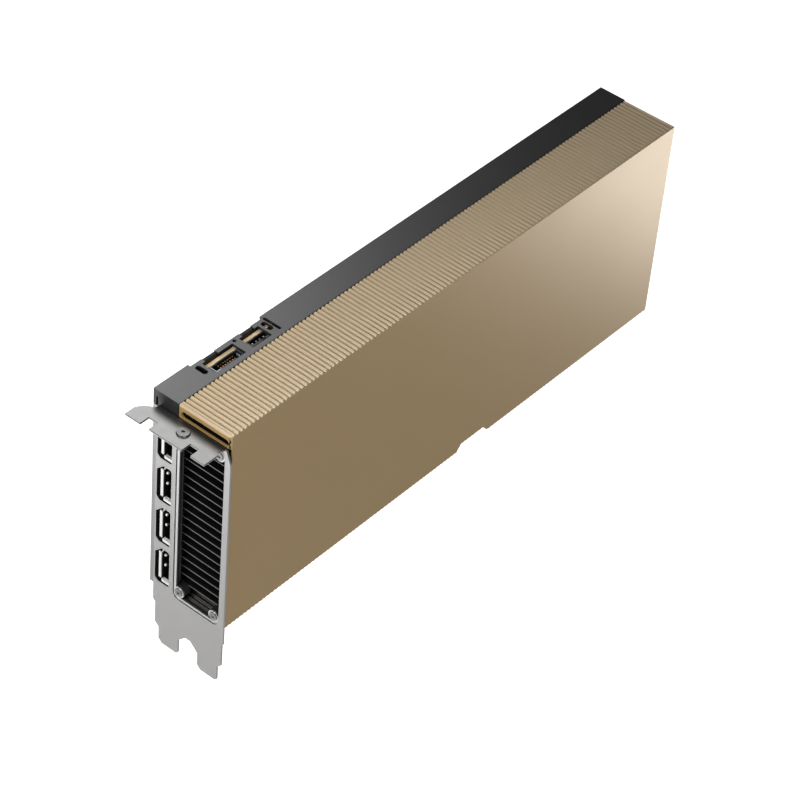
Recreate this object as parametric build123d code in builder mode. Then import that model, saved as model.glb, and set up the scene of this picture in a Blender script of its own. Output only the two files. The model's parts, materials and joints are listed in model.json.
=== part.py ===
from build123d import *
from math import atan, degrees
import os

os.makedirs("parts", exist_ok=True)

# Passive accelerator card: full height, full length and two slots wide.
# X runs from the mounting bracket to the far end, Z is up from the card edge,
# and the plain broad side of the shroud faces -Y.
# The origin is the middle of the key notch, at the bottom of the card edge and
# in the mid-plane of the circuit board.

# Overall sizes
card_length = 266.7
card_height = 111.15
card_thickness = 38.1
slot_pitch = 20.32
bracket_to_key = 57.15
back_side_y = 3.3
seat_gap = 0.3
fit_gap = 0.1

# Bracket: one folded steel sheet
sheet = 0.86
bracket_height = 119.9
tab_top_z = 105.15
tab_depth = 11.43
bend_radius = 0.8
plate_left_y = 0.75
plate_width = 36.3
waist_z = 6.5
waist_inset = 1.2
shoulder_z = -5.1
tongue_width = 10.2
tongue_left_y = -2.55
tongue_shoulder_z = -7.0
tongue_corner = 1.8
gap_roof_z = -3.25
gap_roof_half = 1.3
plate_corner_drop = 5.6
plate_corner_run = 2.1

# Tab of the bracket, seen from above
tab_root_left_y = 0.0
tab_root_right_y = -33.3
tab_right_y = -33.2
tab_finger_y = 5.55
tab_finger_depth = 4.7
tab_finger_r = 9.0
tab_finger_root = 1.5
notch_left_y = -1.85
notch_width = 4.42
notch_depth = 4.57
tab_waist_x = 3.2
tab_waist_inset = 1.1
tab_screw_x = 4.45
tab_screw_y = -16.5
tab_screw_r = 1.05
tab_screw_head_r = 2.7
tab_screw_head_t = 0.7
tab_screw_taper = 20

# Vent in the bracket, with a rim that shows at its left and bottom edges
vent_mid_y = -21.1
vent_width = 23.5
vent_top_margin = 0.69
vent_bottom_margin = 0.3
vent_corner_r = 3.2
band_width = 1.1
band_step = 0.35
band_groove = 0.3
band_lip = 0.4
band_flange_t = 1.0
ear_r = 2.55
ear_inset_y = 2.85
ear_inset_z = 4.0
ear_web_height = 3.0
vent_screw_r = 1.0
vent_screw_head_r = 1.9
vent_screw_head_t = 0.4
vent_screw_taper = 12
vent_screw_length = 3.6
hex_r = 0.8
hex_depth = 0.5

# Display ports
port_count = 4
port_pitch = 21.05
port_mid_y = -3.62
port_first_z = 26.4
port_mouth_width = 7.35
port_mouth_height = 18.0
port_key_corner = 3.2
port_low_corner = 1.5
port_corner = 0.7
port_collar_depth = 1.6
port_shell_width = 6.1
port_shell_height = 17.2
port_shell_wall = 0.3
port_shell_end = 16.0
port_block_length = 6.0
port_tongue_y = -2.45
port_tongue_t = 1.2
port_tongue_height = 13.4
port_tongue_rise = 0.2
port_tongue_set_back = 0.15
port_cap_t = 0.4

# Outer shells
shroud_wall = 1.2
ribbed_wall = 1.7
body_bottom_z = 13.9
cover_joint_y = -9.25
joint_gap = 0.15
rib_pitch = 2.16
rib_depth = 0.8
rib_crest = 0.6
rib_margin = 1.5
recess_start = 138.6
recess_width = 19.6
recess_height = 3.0
recess_slope = 2.75
front_flange_z = 105.1
front_flange_t = 1.2
front_slot_height = 2.1
front_slot_width = 22.0
front_slot_z = 107.5
plate_shell_t = 1.2
plate_edge = 0.4
cover_leg_z = 104.1
cover_skirt_z = 106.9
cover_slot_width = 1.0
cover_slot_y = 1.5
cover_slot_top_z = 108.2

# Openings of the top cover, with X measured from the bracket's outer face
set_in = 1.25
set_in_start = 18.66
set_in_end = 57.3
window_mid_y = -3.45
window_width = 7.0
sync_window_start = 22.7
sync_window_end = 38.85
sync_notch_start = 24.4
sync_notch_end = 31.3
stereo_window_start = 42.5
stereo_window_end = 52.9
stereo_notch_start = 44.4
stereo_notch_end = 50.9
pilot_x = 40.45
pilot_y = 0.45
pilot_r = 0.8
long_hole_y = -2.25
long_hole_x = 20.1
long_hole_x_2 = 55.3
long_hole_length = 5.5
long_hole_width = 2.5
label_slot_x = 57.65
label_slot_width = 1.4
label_slot_length = 8.9
label_slot_y = -2.6
edge_pad_top_z = 110.6
edge_pad_bottom_z = 104.0

# Angle between the bracket and the back plate
angle_t = 1.2
angle_leg = 8.0

# Circuit board and card edge
board_t = 1.57
board_front = 2.4
board_end = 264.6
board_top_z = 108.2
board_lower_z = 14.2
edge_root_z = 8.25
edge_chamfer = 0.5
key_width = 1.9
key_depth = 7.4
edge_short = 11.65
edge_long = 71.65
edge_skirt = 4.0
hook_gap = 5.0
hook_width = 12.0
hook_bottom_z = 3.2
hook_notch = 3.0
contact_pitch = 1.0
contact_width = 0.7
contact_length = 5.6
contact_lift = 0.6
contact_t = 0.04
short_contacts = 11
long_contacts = 71

# Cooling
fin_pitch = 4.2
fin_t = 0.4
fin_count = 21
fin_first_z = 20.1
fin_start = 4.2
fin_end = 240.0
fin_depth = 24.0
base_t = 2.0
base_y = -7.2
base_bottom_z = 17.0
base_top_z = 106.6
chamber_x = 112.0
chamber_z = 62.0
chamber_margin = 1.0
chamber_corner = 3.0

# Processor, memory and power parts on the board
package_size = 50.0
package_t = 1.4
die_length = 26.0
die_height = 24.0
stiffener_wall = 4.0
stiffener_t = 0.5
chip_length = 12.0
chip_height = 14.0
chip_short = 10.0
chip_t = 1.1
chip_column_gap = 5.0
chip_column_pitch = 15.5
chip_row_gap = 0.4
chip_row_pitch = 15.0
cooler_screw_x = 23.5
cooler_screw_gap = 7.0
power_column_start = 176.0
power_column_pitch = 34.0
power_row_start = 27.5
power_row_pitch = 9.6
power_rows = 8
power_columns = 2
stage_width = 5.0
stage_height = 6.0
stage_t = 0.9
coil_size = 7.0
coil_t = 4.0
coil_offset = 8.5
capacitor_length = 7.3
capacitor_width = 4.3
capacitor_t = 2.8
capacitor_offset = 16.5
coil_edge = 0.5

# Screws through the back plate and the posts that they enter
post_first_x = 20.5
post_middle_x = 169.5
post_last_x = 244.0
post_low_z = 22.0
post_high_z = 102.0
post_r = 2.2
screw_r = 1.0
screw_head_r = 1.9
screw_depth = 4.0
thread_gap = 0.025

# Sync and stereo headers
header_top_z = 108.2
sync_start = 25.6
sync_length = 14.8
sync_width = 3.9
sync_height = 7.0
sync_wall = 0.35
sync_stub = 2.4
sync_opening = 3.5
sync_columns = 7
sync_pitch = 1.27
sync_pin_size = 0.4
sync_pin_rise = 5.0
stereo_start = 45.0
stereo_length = 10.3
stereo_width = 3.6
stereo_height = 6.5
stereo_wall = 0.7
stereo_columns = 4
stereo_pitch = 2.0
stereo_pin_size = 0.5
stereo_pin_rise = 4.6
header_floor = 1.2

# Power inlet at the far end
inlet_length = 15.0
inlet_mid_z = 88.0
inlet_height = 19.6
inlet_width = 7.6
inlet_cavity = 2.3
inlet_cavity_depth = 9.0
inlet_pitch = 3.0
inlet_row_wall = 0.5
inlet_columns = 6
inlet_row_offset = 1.2
inlet_pin_size = 1.0
inlet_pin_length = 7.0
sense_size = 1.5
sense_depth = 1.2
sense_pitch = 2.0
sense_columns = 4
sense_row_offset = 2.9

# End frame with the air inlet and the extender holes
end_frame_t = 3.0
end_frame_bar = 6.4
end_frame_side = 2.0
end_frame_left_y = -1.1
air_inlet_left_y = -10.2
extender_r = 1.25
extender_mid_y = -17.6
extender_span_y = 24.0

# Places worked out from the sizes above
plate_x = -bracket_to_key
front_x = plate_x + sheet
end_x = plate_x + card_length
side_y = back_side_y - card_thickness
top_z = card_height
plate_right_y = plate_left_y - plate_width
bracket_bottom_z = tab_top_z - bracket_height
board_face_y = -board_t / 2
board_back_y = board_t / 2
back_inner_y = back_side_y - plate_shell_t
band_x = plate_x + band_step
band_rear_x = front_x + band_flange_t
shroud_left_y = cover_joint_y - joint_gap
shroud_inner_y = side_y + shroud_wall
shroud_roof_z = top_z - ribbed_wall
shroud_floor_z = body_bottom_z + ribbed_wall
cover_under_z = top_z - plate_shell_t
fin_root_y = base_y - base_t
vent_frame_end_x = plate_x + fin_start - fit_gap
chamber_mid_x = plate_x + chamber_x
vent_low_z = body_bottom_z + vent_bottom_margin
vent_high_z = tab_top_z - sheet - vent_top_margin
vent_mid_z = (vent_low_z + vent_high_z) / 2
vent_height = vent_high_z - vent_low_z
vent_left_y = vent_mid_y + vent_width / 2
vent_right_y = vent_mid_y - vent_width / 2
ear_span_y = vent_width - 2 * ear_inset_y
ear_span_z = vent_height - 2 * ear_inset_z
port_mouth_y = port_mid_y + port_mouth_width / 2
port_mid_z = port_first_z + port_pitch * (port_count - 1) / 2
chip_column_x = package_size / 2 + chip_column_gap + chip_length / 2
chip_row_z = package_size / 2 + chip_row_gap + chip_short / 2
cooler_screw_z = package_size / 2 + cooler_screw_gap
chamber_length = 2 * (chip_column_x + chip_length / 2 + chamber_margin)
chamber_height = 2 * (chip_row_z + chip_short / 2 + chamber_margin)


def block(x_low, x_high, y_low, y_high, z_low, z_high, mode=Mode.ADD):
    """Add or cut a block given by the places of its six sides."""
    middle = ((x_low + x_high) / 2, (y_low + y_high) / 2, (z_low + z_high) / 2)
    with Locations(middle):
        Box(x_high - x_low, y_high - y_low, z_high - z_low, mode=mode)


def rib_edge(start_x, stop_x, crest_z, outward):
    """Points of a run of ribs along X, with the crests at crest_z."""
    flank = (rib_pitch - rib_crest) / 2
    root_z = crest_z - outward * rib_depth
    count = int((stop_x - start_x) / rib_pitch)
    points = [(start_x, root_z)]
    for number in range(count):
        rib_x = start_x + number * rib_pitch
        points.append((rib_x + flank, crest_z))
        points.append((rib_x + flank + rib_crest, crest_z))
        points.append((rib_x + rib_pitch, root_z))
    return points


def power_places(offset):
    """Centres of one column set of power parts, as places on the board."""
    places = []
    for column in range(power_columns):
        for row in range(power_rows):
            place_x = plate_x + power_column_start + column * power_column_pitch + offset
            places.append((place_x, power_row_start + row * power_row_pitch))
    return places


# Mouth of one display port, with its keyed corner at the top left
with BuildSketch() as port_mouth:
    Rectangle(port_mouth_width, port_mouth_height)
    left_corners = port_mouth.vertices().group_by(Axis.X)[-1].sort_by(Axis.Y)
    right_corners = port_mouth.vertices().group_by(Axis.X)[0]
    chamfer(left_corners[-1], port_key_corner)
    chamfer(left_corners[0], port_low_corner)
    chamfer(right_corners, port_corner)


def port_mouths(place_x, margin):
    """Faces of all display port mouths at one place along X, grown by a margin."""
    with BuildSketch(Plane.YZ.offset(place_x)) as mouths:
        with Locations((port_mid_y, port_mid_z)):
            with GridLocations(1, port_pitch, 1, port_count):
                add(port_mouth.sketch)
        offset(amount=margin, kind=Kind.INTERSECTION)
    return mouths.sketch


# Bracket outline, seen from the front, from the top left round the bottom
plate_top_z = tab_top_z - sheet
waist_left_y = plate_left_y - waist_inset
waist_right_y = plate_right_y + waist_inset / 2
tongue_right_y = tongue_left_y - tongue_width
second_left_y = tongue_left_y - slot_pitch
second_right_y = second_left_y - tongue_width
gap_mid_y = (tongue_right_y + second_left_y) / 2
left_side = [
    (tab_root_left_y, plate_top_z),
    (plate_left_y, plate_top_z - plate_corner_run),
    (plate_left_y, waist_z),
    (waist_left_y, waist_z - waist_inset),
    (waist_left_y, shoulder_z),
    (tongue_left_y, tongue_shoulder_z),
]
first_tongue = [
    (tongue_left_y, bracket_bottom_z + tongue_corner),
    (tongue_left_y - tongue_corner, bracket_bottom_z),
    (tongue_right_y + tongue_corner / 2, bracket_bottom_z),
    (tongue_right_y, bracket_bottom_z + tongue_corner / 2),
    (tongue_right_y, tongue_shoulder_z),
    (gap_mid_y + gap_roof_half, gap_roof_z),
]
second_tongue = [
    (gap_mid_y - gap_roof_half, gap_roof_z),
    (second_left_y, tongue_shoulder_z),
    (second_left_y, bracket_bottom_z + tongue_corner),
    (second_left_y - tongue_corner, bracket_bottom_z),
    (second_right_y + tongue_corner / 2, bracket_bottom_z),
    (second_right_y, bracket_bottom_z + tongue_corner / 2),
    (second_right_y, tongue_shoulder_z),
]
right_side = [
    (waist_right_y, shoulder_z),
    (waist_right_y, waist_z - waist_inset / 2),
    (plate_right_y, waist_z),
    (plate_right_y, plate_top_z - plate_corner_drop),
    (plate_right_y + plate_corner_run, plate_top_z),
]

# Tab outline, seen from above, from the left root round the outer edge
tab_x = plate_x - tab_depth
finger_x = tab_x + tab_finger_depth
finger_root_x = plate_x - tab_finger_root
notch_x = tab_x + notch_depth
second_notch_y = notch_left_y - slot_pitch

with BuildPart() as bracket:
    with BuildSketch(Plane.YZ.offset(plate_x)):
        with BuildLine():
            Polyline(left_side + first_tongue + second_tongue + right_side, close=True)
        make_face()
        with Locations((vent_mid_y, vent_mid_z)):
            RectangleRounded(vent_width, vent_height, vent_corner_r, mode=Mode.SUBTRACT)
    extrude(amount=sheet)
    with BuildSketch(Plane.XY.offset(tab_top_z - sheet)):
        with BuildLine():
            Line((tab_x, tab_finger_y), (finger_x, tab_finger_y))
            RadiusArc((finger_x, tab_finger_y), (finger_root_x, tab_root_left_y), tab_finger_r)
            Polyline(
                (finger_root_x, tab_root_left_y),
                (front_x, tab_root_left_y),
                (front_x, tab_root_right_y),
                (plate_x, tab_root_right_y),
                (plate_x - tab_waist_x, tab_root_right_y + tab_waist_inset),
                (plate_x - tab_waist_x - tab_waist_inset, tab_right_y),
                (tab_x, tab_right_y),
                (tab_x, second_notch_y - notch_width),
                (notch_x, second_notch_y - notch_width),
                (notch_x, second_notch_y),
                (tab_x, second_notch_y),
                (tab_x, notch_left_y - notch_width),
                (notch_x, notch_left_y - notch_width),
                (notch_x, notch_left_y),
                (tab_x, notch_left_y),
                (tab_x, tab_finger_y),
            )
        make_face()
        with Locations((plate_x - tab_screw_x, tab_screw_y)):
            Circle(tab_screw_r + fit_gap, mode=Mode.SUBTRACT)
    extrude(amount=sheet)
    bend_edges = bracket.edges().filter_by(Axis.Y).group_by(Axis.Z)[-1].sort_by(Axis.X)
    fillet(bend_edges[-1], bend_radius)
    extrude(port_mouths(plate_x, port_shell_wall + fit_gap), amount=sheet, mode=Mode.SUBTRACT)
bracket.part.label = "bracket"
export_step(bracket.part, "parts/bracket.step")

with BuildPart() as vent_screws:
    with BuildSketch(Plane.YZ.offset(band_x)):
        with Locations((vent_mid_y, vent_mid_z)):
            with GridLocations(ear_span_y, ear_span_z, 2, 2):
                Circle(vent_screw_head_r)
    extrude(amount=-vent_screw_head_t, taper=vent_screw_taper)
    with BuildSketch(Plane.YZ.offset(band_x)):
        with Locations((vent_mid_y, vent_mid_z)):
            with GridLocations(ear_span_y, ear_span_z, 2, 2):
                Circle(vent_screw_r)
    extrude(amount=vent_screw_length)
    with BuildSketch(Plane.YZ.offset(band_x - vent_screw_head_t)):
        with Locations((vent_mid_y, vent_mid_z)):
            with GridLocations(ear_span_y, ear_span_z, 2, 2):
                RegularPolygon(hex_r, 6)
    extrude(amount=hex_depth, mode=Mode.SUBTRACT)
vent_screws.part.label = "vent_screws"
export_step(vent_screws.part, "parts/vent_screws.step")

with BuildPart() as tab_screw:
    with BuildSketch(Plane.XY.offset(tab_top_z - sheet)):
        with Locations((plate_x - tab_screw_x, tab_screw_y)):
            Circle(tab_screw_r)
    extrude(amount=sheet)
    with BuildSketch(Plane.XY.offset(tab_top_z)):
        with Locations((plate_x - tab_screw_x, tab_screw_y)):
            Circle(tab_screw_head_r)
    extrude(amount=tab_screw_head_t, taper=tab_screw_taper)
    with BuildSketch(Plane.XY.offset(tab_top_z + tab_screw_head_t)):
        with Locations((plate_x - tab_screw_x, tab_screw_y)):
            RegularPolygon(hex_r, 6)
    extrude(amount=-hex_depth, mode=Mode.SUBTRACT)
tab_screw.part.label = "tab_screw"
export_step(tab_screw.part, "parts/tab_screw.step")

# Cast rim of the air duct with its four screw bosses, seated in the bracket's opening
rim_left_y = vent_left_y - band_groove - band_width
rim_low_z = vent_low_z + band_groove + band_width
with BuildPart() as vent_frame:
    with BuildSketch(Plane.YZ.offset(band_x)):
        with Locations((vent_mid_y, vent_mid_z)):
            RectangleRounded(vent_width - 2 * band_groove, vent_height - 2 * band_groove,
                             vent_corner_r - band_groove)
    extrude(amount=front_x - band_x)
    with BuildSketch(Plane.YZ.offset(front_x)):
        with Locations((vent_mid_y, vent_mid_z)):
            RectangleRounded(vent_width + 2 * band_lip, vent_height + 2 * band_lip,
                             vent_corner_r + band_lip)
    extrude(amount=band_flange_t)
    with BuildSketch(Plane.YZ.offset(band_x)):
        with Locations(((rim_left_y + vent_right_y) / 2, (rim_low_z + vent_high_z) / 2)):
            RectangleRounded(rim_left_y - vent_right_y, vent_high_z - rim_low_z, vent_corner_r)
    extrude(amount=band_rear_x - band_x, mode=Mode.SUBTRACT)
    for ear_z in (vent_low_z + ear_inset_z, vent_high_z - ear_inset_z):
        block(front_x, band_rear_x, vent_right_y - band_lip, vent_right_y + ear_inset_y,
              ear_z - ear_web_height / 2, ear_z + ear_web_height / 2)
    with BuildSketch(Plane.YZ.offset(band_x)):
        with Locations((vent_mid_y, vent_mid_z)):
            with GridLocations(ear_span_y, ear_span_z, 2, 2):
                Circle(ear_r)
    extrude(amount=vent_frame_end_x - band_x)
    with BuildSketch(Plane.YZ.offset(band_x)):
        with Locations((vent_mid_y, vent_mid_z)):
            with GridLocations(ear_span_y, ear_span_z, 2, 2):
                Circle(vent_screw_r + thread_gap)
    extrude(amount=vent_frame_end_x - band_x, mode=Mode.SUBTRACT)
    block(band_x, vent_frame_end_x, side_y, back_side_y, bracket_bottom_z, body_bottom_z,
          mode=Mode.SUBTRACT)
vent_frame.part.label = "vent_frame"
export_step(vent_frame.part, "parts/vent_frame.step")

# Ribbed shroud: one folded and pressed sheet, open towards the board
rib_start_x = front_x + rib_margin
rib_stop_x = end_x - rib_margin
recess_x = plate_x + recess_start
recess_end_x = recess_x + recess_width
recess_z = body_bottom_z + recess_height
top_edge = [(front_x, top_z), (rib_start_x, top_z)]
top_edge += rib_edge(rib_start_x, rib_stop_x, top_z, 1)
top_edge += [(rib_stop_x, top_z - rib_depth), (rib_stop_x, top_z), (end_x, top_z)]
bottom_edge = [(front_x, body_bottom_z), (rib_start_x, body_bottom_z)]
bottom_edge += rib_edge(rib_start_x, recess_x, body_bottom_z, -1)
bottom_edge += [
    (recess_x - rib_crest, body_bottom_z + rib_depth),
    (recess_x, body_bottom_z),
    (recess_x + recess_slope, recess_z),
    (recess_end_x - recess_slope, recess_z),
    (recess_end_x, body_bottom_z),
    (recess_end_x + rib_crest, body_bottom_z + rib_depth),
]
bottom_edge += rib_edge(recess_end_x + rib_pitch, rib_stop_x, body_bottom_z, -1)
bottom_edge += [(rib_stop_x, body_bottom_z + rib_depth)]
bottom_edge += [(rib_stop_x, body_bottom_z), (end_x, body_bottom_z)]
shroud_inside = [
    (front_x + front_flange_t, shroud_roof_z),
    (end_x, shroud_roof_z),
    (end_x, shroud_floor_z),
    (recess_end_x + ribbed_wall / 2, shroud_floor_z),
    (recess_end_x - recess_slope + ribbed_wall / 2, recess_z + ribbed_wall),
    (recess_x + recess_slope - ribbed_wall / 2, recess_z + ribbed_wall),
    (recess_x - ribbed_wall / 2, shroud_floor_z),
    (front_x + front_flange_t, shroud_floor_z),
]
with BuildPart() as shroud:
    with BuildSketch(Plane.XZ.offset(-shroud_left_y)):
        with BuildLine():
            Polyline(top_edge + bottom_edge[::-1], close=True)
        make_face()
    extrude(amount=shroud_left_y - side_y)
    with BuildSketch(Plane.XZ.offset(-shroud_left_y)):
        with BuildLine():
            Polyline(shroud_inside, close=True)
        make_face()
    extrude(amount=shroud_left_y - shroud_inner_y, mode=Mode.SUBTRACT)
    block(front_x, front_x + front_flange_t, shroud_inner_y, shroud_left_y,
          shroud_floor_z, front_flange_z, mode=Mode.SUBTRACT)
    block(front_x, band_rear_x + fit_gap, vent_right_y - band_lip - fit_gap, shroud_left_y,
          body_bottom_z, shroud_floor_z, mode=Mode.SUBTRACT)
    with BuildSketch(Plane.YZ.offset(front_x)):
        with Locations(((shroud_left_y + side_y) / 2, front_slot_z)):
            SlotOverall(front_slot_width, front_slot_height)
    extrude(amount=front_flange_t, mode=Mode.SUBTRACT)
shroud.part.label = "shroud"
export_step(shroud.part, "parts/shroud.step")

# Top cover over the board side, with the windows of the two headers
window_left_y = window_mid_y + window_width / 2
window_right_y = window_mid_y - window_width / 2
with BuildPart() as top_cover:
    block(front_x, end_x, cover_joint_y, back_side_y, cover_under_z, top_z)
    block(front_x, front_x + plate_shell_t, cover_joint_y, back_side_y, cover_leg_z, cover_under_z)
    block(front_x, end_x, cover_joint_y, cover_joint_y + plate_shell_t,
          cover_skirt_z, cover_under_z)
    with BuildSketch(Plane.YZ.offset(front_x)):
        with Locations((cover_slot_y, cover_leg_z)):
            SlotOverall(2 * (cover_slot_top_z - cover_leg_z), cover_slot_width, rotation=90)
    extrude(amount=plate_shell_t, mode=Mode.SUBTRACT)
    block(plate_x + set_in_start, plate_x + set_in_end, back_side_y - set_in, back_side_y,
          cover_under_z, top_z, mode=Mode.SUBTRACT)
    block(plate_x + sync_window_start, plate_x + sync_window_end, window_right_y, window_left_y,
          cover_under_z, top_z, mode=Mode.SUBTRACT)
    block(plate_x + sync_notch_start, plate_x + sync_notch_end, window_mid_y, back_side_y,
          cover_under_z, top_z, mode=Mode.SUBTRACT)
    block(plate_x + stereo_window_start, plate_x + stereo_window_end,
          window_right_y, window_left_y, cover_under_z, top_z, mode=Mode.SUBTRACT)
    block(plate_x + stereo_notch_start, plate_x + stereo_notch_end, window_mid_y, back_side_y,
          cover_under_z, top_z, mode=Mode.SUBTRACT)
    with BuildSketch(Plane.XY.offset(cover_under_z)):
        with Locations((plate_x + pilot_x, pilot_y)):
            Circle(pilot_r)
        with Locations((plate_x + long_hole_x, long_hole_y), (plate_x + long_hole_x_2, long_hole_y)):
            SlotOverall(long_hole_length, long_hole_width, rotation=90)
        with Locations((plate_x + label_slot_x, label_slot_y)):
            SlotOverall(label_slot_length, label_slot_width, rotation=90)
    extrude(amount=plate_shell_t, mode=Mode.SUBTRACT)
top_cover.part.label = "top_cover"
export_step(top_cover.part, "parts/top_cover.step")

# Places of the back plate's screws and of the cooler's screws
post_places = []
for post_x in (post_first_x, post_middle_x, post_last_x):
    post_places.append((plate_x + post_x, post_low_z))
    post_places.append((plate_x + post_x, post_high_z))
head_taper = degrees(atan((screw_head_r - screw_r) / plate_shell_t))
cooler_grid = GridLocations(2 * cooler_screw_x, 2 * cooler_screw_z, 2, 2)
cooler_places = [(chamber_mid_x + place.position.X, chamber_z + place.position.Y)
                 for place in cooler_grid]
screw_places = post_places + cooler_places

with BuildPart() as back_plate:
    block(front_x + angle_t, end_x, back_inner_y, back_side_y, body_bottom_z, cover_under_z)
    block(plate_x + set_in_start, plate_x + set_in_end, back_inner_y, back_side_y,
          cover_under_z - plate_shell_t, cover_under_z, mode=Mode.SUBTRACT)
    with BuildSketch(Plane.XZ.offset(-back_side_y)):
        with Locations(screw_places):
            Circle(screw_head_r + fit_gap / 2)
    extrude(amount=plate_shell_t, taper=head_taper, mode=Mode.SUBTRACT)
    chamfer(back_plate.faces().sort_by(Axis.Y)[-1].outer_wire().edges().filter_by(Axis.X), plate_edge)
back_plate.part.label = "back_plate"
export_step(back_plate.part, "parts/back_plate.step")

# Angle that joins the back plate to the bracket, cut out round the display ports
angle_top_z = cover_leg_z - seat_gap
collar_y = port_mouth_y + port_shell_wall + fit_gap
collar_half = port_mouth_height / 2 + port_shell_wall + fit_gap
with BuildPart() as side_angle:
    block(front_x, front_x + angle_t, board_face_y + fit_gap, back_side_y, body_bottom_z, angle_top_z)
    block(front_x, front_x + angle_leg, back_inner_y - angle_t, back_inner_y,
          body_bottom_z, angle_top_z)
    for port in range(port_count):
        port_z = port_first_z + port * port_pitch
        block(front_x, front_x + angle_t, board_face_y, collar_y,
              port_z - collar_half, port_z + collar_half, mode=Mode.SUBTRACT)
side_angle.part.label = "side_angle"
export_step(side_angle.part, "parts/side_angle.step")

# Black pads on the back plate, which fill the two notches in the cover's edge
with BuildPart() as edge_pads:
    for start, end in ((sync_notch_start, sync_notch_end), (stereo_notch_start, stereo_notch_end)):
        block(plate_x + start + fit_gap, plate_x + end - fit_gap, board_back_y + fit_gap,
              back_inner_y, edge_pad_bottom_z, edge_pad_top_z)
edge_pads.part.label = "edge_pads"
export_step(edge_pads.part, "parts/edge_pads.step")


def back_screw(places, tip_y):
    """Add one countersunk screw at each place, from the back plate to its tip."""
    with BuildSketch(Plane.XZ.offset(-back_side_y)) as heads:
        with Locations(places):
            Circle(screw_head_r)
    extrude(heads.sketch, amount=plate_shell_t, taper=head_taper)
    with BuildSketch(Plane.XZ.offset(-back_inner_y)) as shanks:
        with Locations(places):
            Circle(screw_r)
    extrude(shanks.sketch, amount=back_inner_y - tip_y)


post_tip_y = board_face_y - screw_depth
with BuildPart() as back_plate_screws:
    back_screw(post_places, post_tip_y)
back_plate_screws.part.label = "back_plate_screws"
export_step(back_plate_screws.part, "parts/back_plate_screws.step")

# Vapour chamber: its face meets the die and the memory pads
chamber_face_y = board_face_y - package_t - stiffener_t - seat_gap
cooler_tip_y = chamber_face_y - screw_depth + seat_gap
with BuildPart() as cooler_screws:
    back_screw(cooler_places, cooler_tip_y + screw_depth / 2)
cooler_screws.part.label = "cooler_screws"
export_step(cooler_screws.part, "parts/cooler_screws.step")

with BuildPart() as posts:
    with BuildSketch(Plane.XZ.offset(-board_face_y)):
        with Locations(post_places):
            RegularPolygon(post_r, 6)
            Circle(screw_r + thread_gap, mode=Mode.SUBTRACT)
    extrude(amount=board_face_y - base_y)
posts.part.label = "posts"
export_step(posts.part, "parts/posts.step")

# Circuit board with its card edge, key notch and hook
tab_start_x = -key_width / 2 - edge_short
tab_end_x = key_width / 2 + edge_long
hook_x = tab_end_x + hook_gap
board_outline = [
    (plate_x + board_front, board_top_z),
    (plate_x + board_front, board_lower_z),
    (tab_start_x - edge_skirt - edge_root_z / 2, board_lower_z),
    (tab_start_x - edge_skirt, edge_root_z),
    (tab_start_x, edge_root_z),
    (tab_start_x, edge_chamfer),
    (tab_start_x + edge_chamfer, 0),
    (-key_width / 2, 0),
    (-key_width / 2, key_depth),
    (key_width / 2, key_depth),
    (key_width / 2, 0),
    (tab_end_x - edge_chamfer, 0),
    (tab_end_x, edge_chamfer),
    (tab_end_x, edge_root_z),
    (hook_x, edge_root_z),
    (hook_x, hook_bottom_z),
    (hook_x + hook_width, hook_bottom_z),
    (hook_x + hook_width, edge_root_z),
    (hook_x + hook_notch, edge_root_z),
    (hook_x + hook_notch, edge_root_z + hook_notch),
    (hook_x + hook_width + hook_notch, edge_root_z + hook_notch),
    (hook_x + hook_width + 2 * hook_notch, board_lower_z),
    (plate_x + board_end, board_lower_z),
    (plate_x + board_end, board_top_z),
]
with BuildPart() as circuit_board:
    with BuildSketch(Plane.XZ.offset(-board_back_y)):
        with BuildLine():
            Polyline(board_outline, close=True)
        make_face()
        with Locations(screw_places):
            Circle(screw_r + fit_gap, mode=Mode.SUBTRACT)
    extrude(amount=board_t)
    lower_edges = circuit_board.edges().filter_by(Axis.X).group_by(Axis.Z)[0]
    chamfer(lower_edges, edge_chamfer)
circuit_board.part.label = "circuit_board"
export_step(circuit_board.part, "parts/circuit_board.step")

# Plated contacts on both faces of the card edge
contact_mid_z = edge_chamfer + contact_lift + contact_length / 2
short_mid_x = -key_width / 2 - edge_short / 2
long_mid_x = key_width / 2 + edge_long / 2
with BuildPart() as edge_contacts:
    for face_y in (board_face_y, board_back_y + contact_t):
        with BuildSketch(Plane.XZ.offset(-face_y)):
            with Locations((short_mid_x, contact_mid_z)):
                with GridLocations(contact_pitch, 1, short_contacts, 1):
                    Rectangle(contact_width, contact_length)
            with Locations((long_mid_x, contact_mid_z)):
                with GridLocations(contact_pitch, 1, long_contacts, 1):
                    Rectangle(contact_width, contact_length)
        extrude(amount=contact_t)
edge_contacts.part.label = "edge_contacts"
export_step(edge_contacts.part, "parts/edge_contacts.step")

# Heat sink: one base, and thin shelves across the card that are soldered to it
fin_x = plate_x + fin_start
fin_end_x = plate_x + fin_end
fin_mid_z = fin_first_z + fin_pitch * (fin_count - 1) / 2
with BuildPart() as heat_sink:
    block(fin_x, fin_end_x, fin_root_y, base_y, base_bottom_z, base_top_z)
heat_sink.part.label = "heat_sink"
export_step(heat_sink.part, "parts/heat_sink.step")

with BuildPart() as fins:
    with BuildSketch(Plane.YZ.offset(fin_x)):
        with Locations((fin_root_y - fin_depth / 2, fin_mid_z)):
            with GridLocations(1, fin_pitch, 1, fin_count):
                Rectangle(fin_depth, fin_t)
    extrude(amount=fin_end_x - fin_x)
fins.part.label = "fins"
export_step(fins.part, "parts/fins.step")

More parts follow.
